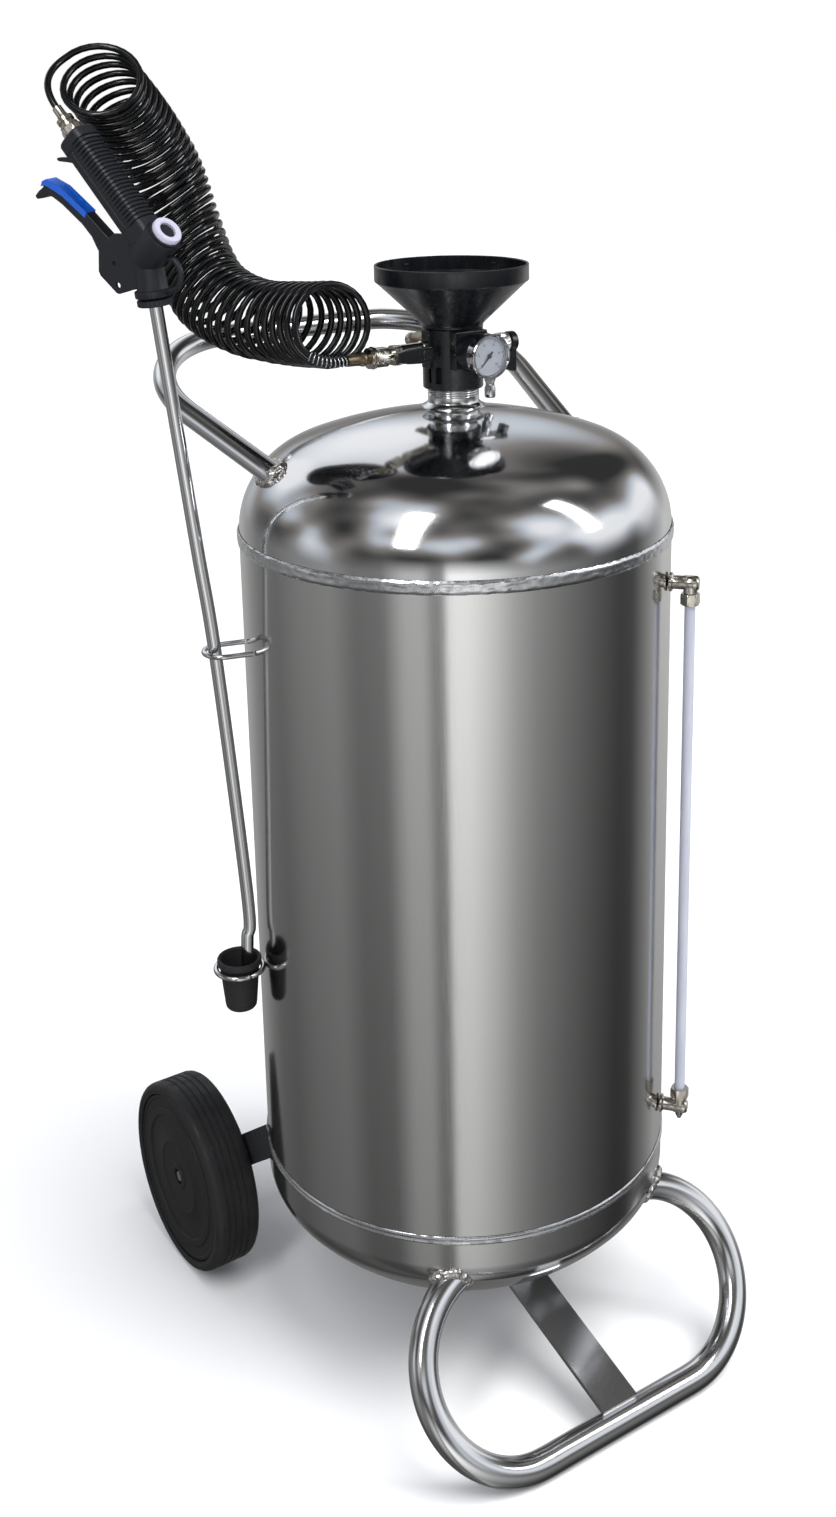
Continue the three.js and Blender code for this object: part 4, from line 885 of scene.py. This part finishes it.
def bow(half_width, bend, depth, turn_by, runs, lean_in):
    # Half of a bow in its own plane, from the middle of the crossbar to the weld, as (across, along) pairs.
    cx, cy = half_width - bend, depth - bend
    half = [(cx * i / 4, depth) for i in range(4)]
    for i in range(17):
        t = math.radians(90 - turn_by * i / 16)
        half.append((cx + bend * math.cos(t), cy + bend * math.sin(t)))
    x, d = half[-1]
    half += [(x - run * math.sin(lean_in), d - run * math.cos(lean_in)) for run in runs]
    return half


def handle_point(x, d, slope=math.radians(20)):
    return Vector((x, 50 + d * math.cos(slope), 893 + d * math.sin(slope)))


half = bow(193, 115, 251, 102, (20, 40, 60, 80, 100, 118, 132), math.radians(12))
line = [handle_point(-x, d) for x, d in reversed(half)] + [handle_point(x, d) for x, d in half[1:]]
tube_steel = steel(
    "stainless_polished_tube", "polished_steel", "#d0d1d3", 0.12, 0.5, (1, 1, 1), 0.0006, 60, 0.02,
    scratch=0.35
)
# Bright tube with soft long reflections and a few rubbed spots.
make("push_bow", pipe(spline(line, 4), 11, 32), tube_steel, "frame", ["push_handle"])


def meeting(start, way, r, surface, count=72):
    # The line where a round tube meets a head: surface(point) is above zero outside the head.
    side_way = way.orthogonal().normalized()
    up_way = way.cross(side_way)
    found = []
    for k in range(count):
        t = 2 * math.pi * k / count
        base = start + side_way * (r * math.cos(t)) + up_way * (r * math.sin(t))
        low, high = 0.0, 110.0
        for _ in range(26):
            middle = (low + high) / 2
            if surface(base + way * middle) > 0:
                low = middle
            else:
                high = middle
        found.append(base + way * low)
    return found


def above_top(p):
    r = math.hypot(p.x, p.y)
    return p.z - HIGH_SEAM - head_height(TOP_HEAD, min(r, 199.9)) if r < 200 else 1.0


def weld_ripple(size, seed):
    return lambda spot, t: size * noise.noise(
        Vector((spot.x, spot.y, spot.z)) * 0.42 + Vector((seed, t, 0))
    )


tig_weld = steel("stainless_hand_weld", "ground_weld", "#cfccc8", 0.28, 1.4, (1, 1, 1), 0.12, 6, 0.2)
# Lumpy, duller than the tube and brighter on its crests.
for side, sign in (("left", -1), ("right", 1)):
    outer = handle_point(sign * half[-5][0], half[-5][1])
    way = (handle_point(sign * half[-1][0], half[-1][1]) - outer).normalized()
    seam_line = meeting(outer - way * 40, way, 12.4, above_top)
    make(
        f"bow_weld_{side}", pipe(seam_line, 3.6, 16, True, weld_ripple(1.9, sign * 7)), tig_weld, "frame",
        [f"handle_weld_{side}"]
    )

# ---- Foot loop and strut ----
# Three-quarter-inch stainless pipe bent to a loop that stands on the floor in front, welded to the lower
# head, with a flat bar from its middle to the head that stiffens it.

FOOT_Z = 13.5 * math.cos(math.pi / 12) - 0.25
run_length = math.hypot(102, 158 - FOOT_Z)
foot_half = bow(178, 90, run_length, 165, (), 0.0)


def foot_point(x, d):
    share = d / run_length
    return Vector((x, -150 - 102 * share, 158 + (FOOT_Z - 158) * share))


line = [foot_point(-x, d) for x, d in reversed(foot_half)] + [foot_point(x, d) for x, d in foot_half[1:]]
worn_tube = steel(
    "stainless_worn_tube", "polished_steel", "#d0d1d3", 0.15, 0.5, (1, 1, 1), 0.0006, 60, 0.03,
    scratch=0.5
)
# The same tube scuffed by floors: a little duller, with scratches along the bar.
foot_shape = pipe(spline(line, 4), 13.5, 32)
foot_shape = ([Vector((v.x, v.y, max(v.z, 0.0))) for v in foot_shape[0]], foot_shape[1])
make("foot_bow", foot_shape, worn_tube, "frame", ["foot_loop"])


def below_low(p):
    r = math.hypot(p.x, p.y)
    return LOW_SEAM - head_height(LOW_HEAD, min(r, 199.9)) - p.z if p.z < LOW_SEAM - 28 else r - 200


for side, sign in (("left", -1), ("right", 1)):
    outer = foot_point(sign * foot_half[-4][0], foot_half[-4][1])
    way = (foot_point(sign * foot_half[-2][0], foot_half[-2][1]) - outer).normalized()
    seam_line = meeting(outer - way * 20, way, 14.8, below_low)
    make(
        f"foot_bow_weld_{side}", pipe(seam_line, 4.2, 16, True, weld_ripple(2.2, sign * 11)), tig_weld,
        "frame", [f"foot_weld_{side}"]
    )
repaint(worn_tube, "foot_strut")

# ---- Wheels, axle and brackets ----
# Two 200 mm wheels: a black plastic disc with shallow rings, and a solid rubber tyre with thin grooves.
# They turn on a steel axle held by two painted flat bars welded to the tank.

tyre_rubber, tree, shader = finish("solid_rubber_tyre", "tyre_rubber", "#1a1a1c", 0.0, 0.6)
dust = pattern(tree, 14, Detail=5.0).outputs[0]
shade = add(tree, "ShaderNodeMix", {0: dust, 6: colour("#0e0e10"), 7: colour("#222224")}, data_type="RGBA")
tree.links.new(shade.outputs[2], shader.inputs["Base Color"])
vary(tree, shader, "Roughness", dust, 0.48, 0.72)
emboss(tree, shader, pattern(tree, 0.9, Detail=3.0).outputs[0], 0.05)
# Dark grey-black rubber, scuffed and dusty on the tread.
wheel_plastic, tree, shader = finish("wheel_polypropylene", "wheel_plastic", "#0f1012", 0.0, 0.5)
grain = pattern(tree, 1.1, Detail=3.0).outputs[0]
vary(tree, shader, "Roughness", grain, 0.42, 0.6)
emboss(tree, shader, grain, 0.035)
# Fine matt grain on a near-black moulding.
tread = [(89, -23.8), (95, -24.3), (97.6, -23.2), (99.2, -21), (100, -18)]
for groove in (-11, -3.7, 3.7, 11):
    tread += [(100, groove - 1.4), (98.9, groove - 0.6), (98.9, groove + 0.6), (100, groove + 1.4)]
tread += [
    (100, 18), (99.2, 21), (97.6, 23.2), (95, 24.3), (92.5, 24.3), (91.6, 23.6), (89, 23.4), (89, -23.8)
]
disc = [
    (6.4, -24), (16, -24), (16, 14), (80, 14), (80, -22), (88.7, -22), (88.7, 20.6), (87.4, 22),
    (84.6, 22.2)
]
disc += [
    (83.6, 21.4), (74, 21.4), (73, 22.6), (70, 22.9), (66.4, 22.9), (65.4, 21.6), (40, 21.2), (39.2, 21.7)
]
disc += [
    (37.6, 21.7), (36.8, 21.1), (14, 20.9), (13, 22.2), (9, 22.2), (8.2, 21.4), (8.2, 18.6), (6.4, 18.6),
    (6.4, -24)
]
for side, sign in (("left", -1), ("right", 1)):
    on_axle = towards((sign, 0, 0), (sign * 207.2, 208, 100))
    make(f"tyre_ring_{side}", lathe(tread, 160, on_axle), tyre_rubber, f"wheel_{side}", [f"tyre_{side}"])
    make(
        f"wheel_disc_{side}", lathe(disc, 144, on_axle), wheel_plastic, f"wheel_{side}",
        [f"wheel_rim_{side}"]
    )
axle = lathe(
    [(0, -228), (5, -228), (6, -227), (6, 227), (5, 228), (0, 228)], 40, towards((1, 0, 0), (0, 208, 100))
)
make("steel_axle", axle, nickel, "frame", ["wheel_axle"])
satin_paint, tree, shader = finish("satin_black_paint", "black_paint", "#2a2b2d", 0.0, 0.42)
peel = pattern(tree, 2.2, Detail=2.0).outputs[0]
vary(tree, shader, "Roughness", peel, 0.34, 0.52)
emboss(tree, shader, peel, 0.05)
# Dark grey paint with a slight orange peel.
repaint(satin_paint, "wheel_bracket_left", "wheel_bracket_right")

# ---- Lance holders ----
# A wire loop steadies the lance half-way up, and a soft rubber cup in a wire ring catches its tip. Both
# wires are bent stainless rod welded to the shell.

HOLD_TURN = math.radians(165)
OUT = Vector((math.cos(HOLD_TURN), math.sin(HOLD_TURN), 0))
ACROSS = Vector((-OUT.y, OUT.x, 0))


def from_tank(distance, z, over=0.0):
    spot = OUT * (200 + distance) + ACROSS * over
    spot.z = z
    return spot


wire = [from_tank(0.5, 732, -18), from_tank(12, 732, -18)]
for i in range(13):
    t = -math.pi / 2 + math.pi * i / 12
    wire.append(from_tank(23 + 18 * math.cos(t), 732, 18 * math.sin(t)))
wire += [from_tank(12, 732, 18), from_tank(0.5, 732, 18)]
make("steadying_loop", pipe(spline(wire, 3), 2.5, 20), tube_steel, "frame", ["lance_loop"])
ring = [
    from_tank(24 + 22.3 * math.cos(t), 414, 22.3 * math.sin(t))
    for t in (2 * math.pi * i / 96 for i in range(96))
]
ring = [p for p in ring if math.hypot(p.x, p.y) > 200.8]
start = max(range(len(ring)), key=lambda i: (ring[i] - ring[i - 1]).length)
make("cup_wire", pipe(ring[start:] + ring[:start], 2.6, 20), tube_steel, "frame", ["cup_ring"])
cup = [
    (0, 0), (11.5, 0), (13.4, 0.6), (14.6, 2.2), (15.1, 5), (18.6, 42), (19.3, 44.6), (20.6, 45.4),
    (21, 46.6)
]
cup += [(21, 50.6), (20.4, 51.8), (19.2, 52), (18.0, 51.4), (17.2, 50), (13.6, 6), (12.4, 3.6), (0, 3)]
make(
    "rubber_cup", lathe(cup, 80, Matrix.Translation(from_tank(24, 373))), soft_rubber, "frame",
    ["lance_cup"]
)

# ---- Lance ----
# A thin stainless tube with a slight bend near its tip, screwed into the gun by a black knurled nut.

lance_top, lance_mid = from_tank(65.7, 1047), from_tank(30.5, 723)
gun_up = (lance_top - lance_mid).normalized()
gun_back = Vector((math.cos(math.radians(-68.6)), math.sin(math.radians(-68.6)), 0))
gun_back = (gun_back - gun_up * gun_back.dot(gun_up)).normalized()
gun_side = gun_up.cross(gun_back)
gun_frame = Matrix.Translation(lance_top) @ Matrix((gun_back, gun_side, gun_up)).transposed().to_4x4()
rod = [
    lance_top + gun_up * 4, lance_top - gun_up * 110, lance_top - gun_up * 220, lance_mid,
    from_tank(13, 484)
]
rod += [from_tank(15.2, 443), from_tank(17.4, 402)]
make("lance_tube", pipe(spline(rod, 12), 6, 32), tube_steel, "gun", ["lance"])

# ---- Gun ----
# A wash gun in glass-filled nylon: a ribbed grip, a round head for the valve under a grey cap, a conical
# outlet, two cheeks that carry the trigger, and a hanging hook. The trigger has a blue finger pad.

gun_nylon, tree, shader = finish(
    "glass_filled_nylon", "black_plastic", "#17191f", 0.0, 0.42, Specular_IOR_Level=0.5
)
fibres = pattern(tree, 0.8, (1, 1, 3), Detail=3.0).outputs[0]
vary(tree, shader, "Roughness", fibres, 0.34, 0.52)
emboss(tree, shader, fibres, 0.03)
# Satin charcoal with a trace of blue, and a slightly fibrous skin.

LEAN = math.radians(36)
grip_frame = Matrix((
    (math.cos(LEAN), 0, -math.sin(LEAN), 1),
    (0, 1, 0, 0),
    (math.sin(LEAN), 0, math.cos(LEAN), 62),
    (0, 0, 0, 1),
))


def grip(low, high, rings=300, around=96):
    # The handle: rounded section, ribs across the back, grooves along both sides, plain at both ends.
    verts, faces = [], []
    for i in range(rings + 1):
        s = low + (high - low) * i / rings
        ribbed = 6 < s < 95
        for k in range(around):
            t = 2 * math.pi * k / around
            c, d = math.cos(t), math.sin(t)
            x = 15 * math.copysign(abs(c) ** 0.62, c)
            y = 13 * math.copysign(abs(d) ** 0.62, d)
            swell = 1.0
            if ribbed and c > -0.05:
                wave = (s - 6) / 3.7 % 1.0
                swell -= 0.10 * min(1.0, (c + 0.05) * 6) * (1.0 if wave < 0.45 else 0.0)
            if 10 < s < 90 and abs(d) > 0.72 and c < -0.02:
                lane = (x + 11.2) / 2.9 % 1.0
                swell -= 0.085 if lane < 0.42 and x > -11.2 else 0.0
            if s > high - 12:
                swell += 0.045 * min(1.0, (s - high + 12) / 1.5)
            if s > high - 1.5:
                swell -= 0.06 * (s - high + 1.5) / 1.5
            verts.append(Vector((x * swell, y * swell, s)))
    for i in range(rings):
        for k in range(around):
            m = (k + 1) % around
            faces.append((i * around + k, i * around + m, (i + 1) * around + m, (i + 1) * around + k))
    faces.append(tuple(range(around))[::-1])
    faces.append(tuple(rings * around + k for k in range(around)))
    return verts, faces


gun_and_grip = gun_frame @ grip_frame
make("gun_grip", moved(grip(-6, 102), gun_and_grip), gun_nylon, "gun", sharp=50)
head_way = Vector((math.cos(LEAN), 0, math.sin(LEAN)))
head_foot = Vector((8, 0, 48)) - head_way * 14
head_shape = [(0, 0), (13, 0), (15.5, 2), (16, 5), (16, 30.5), (15.2, 33), (14.8, 34), (0, 34)]
outlet = [
    (0, 7.6), (15.6, 7.6), (16, 8.2), (16, 13), (15.4, 13.6), (13.6, 14), (13.2, 16), (12.4, 36),
    (13.4, 44), (12, 52), (0, 56)
]
make(
    "gun_head",
    moved(together(lathe(head_shape, 72, towards(head_way, head_foot)), lathe(outlet, 72)), gun_frame),
    gun_nylon, "gun", ["gun_body"],
)
cheek_line = [
    (-10, 15.5), (-30, 11.5), (-33, 12), (-49.5, 28), (-50.5, 31), (-46, 50), (-40, 56), (-24, 63),
    (-4, 62), (-2, 20)
]

# Turns an outline drawn in X and Y so that it stands in X and Z.
flat = Matrix(((1, 0, 0, 0), (0, 0, -1, 0), (0, 1, 0, 0), (0, 0, 0, 1)))


def in_profile(outline, low, high):
    # An outline in the gun's own X and Z, given a width along its Y.
    return prism(outline, -high, -low, gun_frame @ flat)


cheeks = together(in_profile(cheek_line, 7.4, 10.4), in_profile(cheek_line, -10.4, -7.4))
cheek = make("gun_cheeks", cheeks, gun_nylon, "gun", bevel=0.7)
hole = lathe([(0, -20), (2.5, -20), (2.5, 20), (0, 20)], 32, gun_frame @ towards((0, 1, 0), (-30, 0, 19)))
carve(cheek, hole)
hook = [(20, 0, 40), (30, 0, 38), (34.6, 0, 31), (34.6, 0, 24), (29, 0, 15), (13, 0, 11)]
make("gun_hook", moved(pipe(spline(hook, 8), 2.4, 16), gun_frame), gun_nylon, "gun")
grey_cap, tree, shader = finish("grey_acetal", "grey_plastic", "#b9b7c8", 0.0, 0.42)
emboss(tree, shader, pattern(tree, 1.4, Detail=3.0).outputs[0], 0.02)
vary(tree, shader, "Roughness", pattern(tree, 4, Detail=2.0).outputs[0], 0.36, 0.5)
# Pale lilac-grey, smooth and slightly waxy.
cap_foot = Vector((8, 0, 48)) + head_way * 20.3
make(
    "gun_cap_ring",
    moved(
        lathe(
            [(7.2, 1), (12.4, 1), (12.9, 2), (12.9, 5), (12.1, 6.2), (8.2, 6.2), (7.2, 5.4), (7.2, 1)],
            72, towards(head_way, cap_foot)
        ),
        gun_frame
    ),
    grey_cap, "gun", ["gun_valve_cap"]
)
make(
    "gun_cap_recess",
    moved(
        together(
            moved(hexagon(12.8, 0.6, 3.4, 0.4), towards(head_way, cap_foot)),
            lathe([(0, 0), (14.4, 0), (14.4, 1.6), (0, 1.6)], 48, towards(head_way, cap_foot))
        ),
        gun_frame
    ),
    gun_nylon, "gun"
)
knurled = lathe(
    [(6.3, 0), (14, 0), (15, 0.8), (15, 5.2), (14, 6), (6.3, 6), (6.3, 0)], 120, gun_frame,
    lambda t, r, z: 0.25 * math.cos(30 * t) if r > 13 else 0
)
make("lance_collar", knurled, gun_nylon, "gun", ["lance_nut"])
make(
    "lance_o_ring",
    lathe([(6.3, 6.3), (12, 6.3), (12.5, 6.8), (12, 7.3), (6.3, 7.3), (6.3, 6.3)], 64, gun_frame),
    soft_rubber, "gun", ["lance_seal"]
)
repaint(nickel, "trigger_pin")
swivel = together(
    lathe([(5, 95), (5, 102.3), (9.4, 102.5), (9.4, 104)], 48),
    hexagon(17, 104, 110.6, 0.9),
    lathe(
        [
            (7.2, 110.6), (8.2, 111.4), (8.2, 113), (6.2, 113.6), (6.2, 116), (7.6, 116.6), (7.6, 120),
            (5.2, 121.4), (4.4, 124), (4.2, 131.6), (3.3, 132), (3.3, 124)
        ],
        48
    ),
)
make("gun_swivel", moved(swivel, gun_and_grip), nickel, "gun", ["gun_inlet_fitting"])

lever_line = [
    (-22, 32), (-22, 44), (-38, 60), (-44, 66), (-60, 82), (-84, 102), (-99, 109.5), (-103, 108.5),
    (-106, 104), (-112, 101), (-117.6, 97)
]
lever_line += [
    (-116, 94), (-108, 94.6), (-101, 96.6), (-96, 95), (-86, 88.4), (-66, 71), (-57, 60), (-53, 50),
    (-45, 35), (-38, 30.5), (-30, 30)
]
make("gun_lever", in_profile(lever_line, -5.6, 5.6), gun_nylon, "trigger", ["gun_trigger"], bevel=1.4)
blue_pad, tree, shader = finish("blue_polypropylene", "blue_plastic", "#0a55bd", 0.0, 0.34)
emboss(tree, shader, pattern(tree, 1.6, Detail=3.0).outputs[0], 0.03)
vary(tree, shader, "Roughness", pattern(tree, 5, Detail=2.0).outputs[0], 0.26, 0.42)
# Clear strong blue with a soft gloss.
pad_line = [
    (-57.6, 81.2), (-83.2, 103.2), (-99, 110.8), (-104.6, 109.4), (-108, 104.8), (-102.6, 105.4),
    (-98.4, 103.6), (-84, 95.8), (-60.4, 76)
]
pad = make(
    "gun_finger_pad", in_profile(pad_line, -6.0, 6.0), blue_pad, "trigger", ["trigger_insert"], bevel=0.8
)
carve(
    pad,
    bar(
        (30, 3.4, 4), (0, 0, 0),
        gun_frame @ Matrix.Translation((-80, 0, 101.6)) @ Matrix.Rotation(math.radians(40), 4, "Y")
    )
)
lock_frame = gun_frame @ grip_frame @ Matrix.Translation((-11, 0, 86)) @ Matrix.Rotation(LEAN, 4, "Y")
catch_line = [
    (4, -3), (4.4, 0), (4, 3), (0, 4), (-8, 3.2), (-14, 2.2), (-26, 2.6), (-27, 1), (-25, -0.6),
    (-14, -2), (-6, -3.4)
]
make(
    "gun_catch", prism(catch_line, -2.5, 2.5, lock_frame @ flat), gun_nylon, "lock", ["trigger_lock"],
    bevel=0.7
)

# ---- Spiral hose ----
# Polyurethane air hose 6 mm thick, wound into a spring of about 75 mm. It leaves the brass tail through a
# guard of bright spring wire, lies over itself beside the handle, and climbs to the gun.

HOSE_R = 3.0
COIL_R = 35.6
TOUCHING = 6.03


def curve_to(start, way_in, end, way_out, ease, count):
    # A smooth line that leaves start and reaches end in the given directions. A larger ease keeps to
    # them for longer and bends wider.
    pull = (end - start).length * ease
    a, b = way_in.normalized() * pull, way_out.normalized() * pull
    line = []
    for i in range(1, count):
        t = i / count
        line.append(
            start * (2 * t ** 3 - 3 * t ** 2 + 1) + a * (t ** 3 - 2 * t ** 2 + t)
            + end * (3 * t ** 2 - 2 * t ** 3) + b * (t ** 3 - t ** 2)
        )
    return line


route = spline([
    (-116, 12, 1023), (-133, 56, 1021), (-158, 92, 1026), (-180, 122, 1047), (-188, 146, 1092),
    (-197, 162, 1142), (-219, 166, 1186), (-247, 158, 1220), (-261, 151, 1233),
], 75)
STATIONS = len(route) - 1
mouth_way = Vector((0.18, 0.96, -0.16)).normalized()
crown_way = Vector((-0.42, -0.66, 0.62)).normalized()
swing = mouth_way.angle(crown_way)
gone = [0.0]
for a, b in zip(route, route[1:]):
    gone.append(gone[-1] + (b - a).length)
tip = gun_and_grip @ Vector((0, 0, 132))
tip_way = -(gun_and_grip.to_3x3() @ Vector((0, 0, 1)))
# Each station on the coil's middle line has its own ring plane and the number of turns so far.
stations, turns = [], 0.0
side_way = Vector((0, 0, 1))
for i, spot in enumerate(route):
    way = mouth_way.slerp(crown_way, gone[i] / gone[-1])
    side_way = (side_way - way * side_way.dot(way)).normalized()
    along = (route[min(i + 4, STATIONS)] - route[max(i - 4, 0)]).normalized()
    if i:
        closeness = along.dot(way) - COIL_R * swing / gone[-1]
        turns += (gone[i] - gone[i - 1]) * closeness / TOUCHING
    stations.append((spot, side_way.copy(), way.cross(side_way), turns))
# The first turn starts on its left side, so that the hose from the valve comes into it in a wide bend.
START = math.radians(268)
# The last turn has to stop on its left side, above the gun's inlet.
_, last_side, last_up, _ = stations[-1]
aim_at = Vector((-0.66, 0.45, 0.60))
stop_at = math.atan2(aim_at.dot(last_up), aim_at.dot(last_side))
whole = math.floor(turns - (stop_at - START) / (2 * math.pi))
total = whole + (stop_at - START) / (2 * math.pi)
coil, at = [], 0
PER_TURN = 30
for n in range(int(total * PER_TURN) + 1):
    now = n / PER_TURN
    while at < STATIONS - 1 and stations[at + 1][3] * total / turns < now:
        at += 1
    a, b = stations[at], stations[at + 1]
    share = (now - a[3] * total / turns) / max((b[3] - a[3]) * total / turns, 1e-9)
    angle = START + 2 * math.pi * now
    wobble = 0.5 * noise.noise(Vector((now * 0.8, 3, 0)))
    wide = COIL_R - 2.2 * now / total + wobble + 3.0 * max(0.0, now - total + 1)
    sideways, upways = a[1].lerp(b[1], share), a[2].lerp(b[2], share)
    coil.append(
        a[0].lerp(b[0], share) + sideways * (wide * math.cos(angle)) + upways * (wide * math.sin(angle))
    )
first = Vector((-119, 0, PORT_Z))
lead = [Vector((x, 0, PORT_Z)) for x in (-103, -108, -112, -116)] + [first]
lead += curve_to(first, Vector((-1, 0, 0)), coil[0], coil[1] - coil[0], 1.3, 16)
tail_line = curve_to(coil[-1], coil[-1] - coil[-2], tip, tip_way, 1.15, 14)
tail_line += [tip, tip + tip_way * 4, tip + tip_way * 8]
hose_line = lead + coil + tail_line

black_pu, tree, shader = finish(
    "black_polyurethane_hose", "hose_plastic", "#08090b", 0.0, 0.16, Specular_IOR_Level=0.45
)
haze = pattern(tree, 3.0, Detail=3.0).outputs[0]
vary(tree, shader, "Roughness", haze, 0.1, 0.24)
emboss(tree, shader, haze, 0.008)
# Shiny black, with a highlight along every turn.
hose = make("spiral_hose", pipe(hose_line, HOSE_R, 12), black_pu, None,
            ["hose_coil", "hose_valve_lead", "hose_gun_lead"], sharp=80)

guard_line = [spot for spot in lead if spot.x < -109]
guard_gone = [0.0]
for a, b in zip(guard_line, guard_line[1:]):
    guard_gone.append(guard_gone[-1] + (b - a).length)
spring, k = [], 0
side_way = Vector((0, 1, 0))
WIRE_PITCH = 3.6
reach = min(guard_gone[-1], 36.0)
for n in range(int(reach / WIRE_PITCH * 24)):
    now = n * WIRE_PITCH / 24
    while k < len(guard_gone) - 2 and guard_gone[k + 1] < now:
        k += 1
    share = (now - guard_gone[k]) / (guard_gone[k + 1] - guard_gone[k])
    way = (guard_line[k + 1] - guard_line[k]).normalized()
    side_way = (side_way - way * side_way.dot(way)).normalized()
    t = 2 * math.pi * n / 24
    middle = guard_line[k].lerp(guard_line[k + 1], share)
    spring.append(middle + side_way * (4.3 * math.cos(t)) + way.cross(side_way) * (4.3 * math.sin(t)))
guard = make("spring_guard", pipe(spring, 0.65, 8), chrome, "frame", ["hose_spring_guard"], sharp=80)
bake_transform(hose)
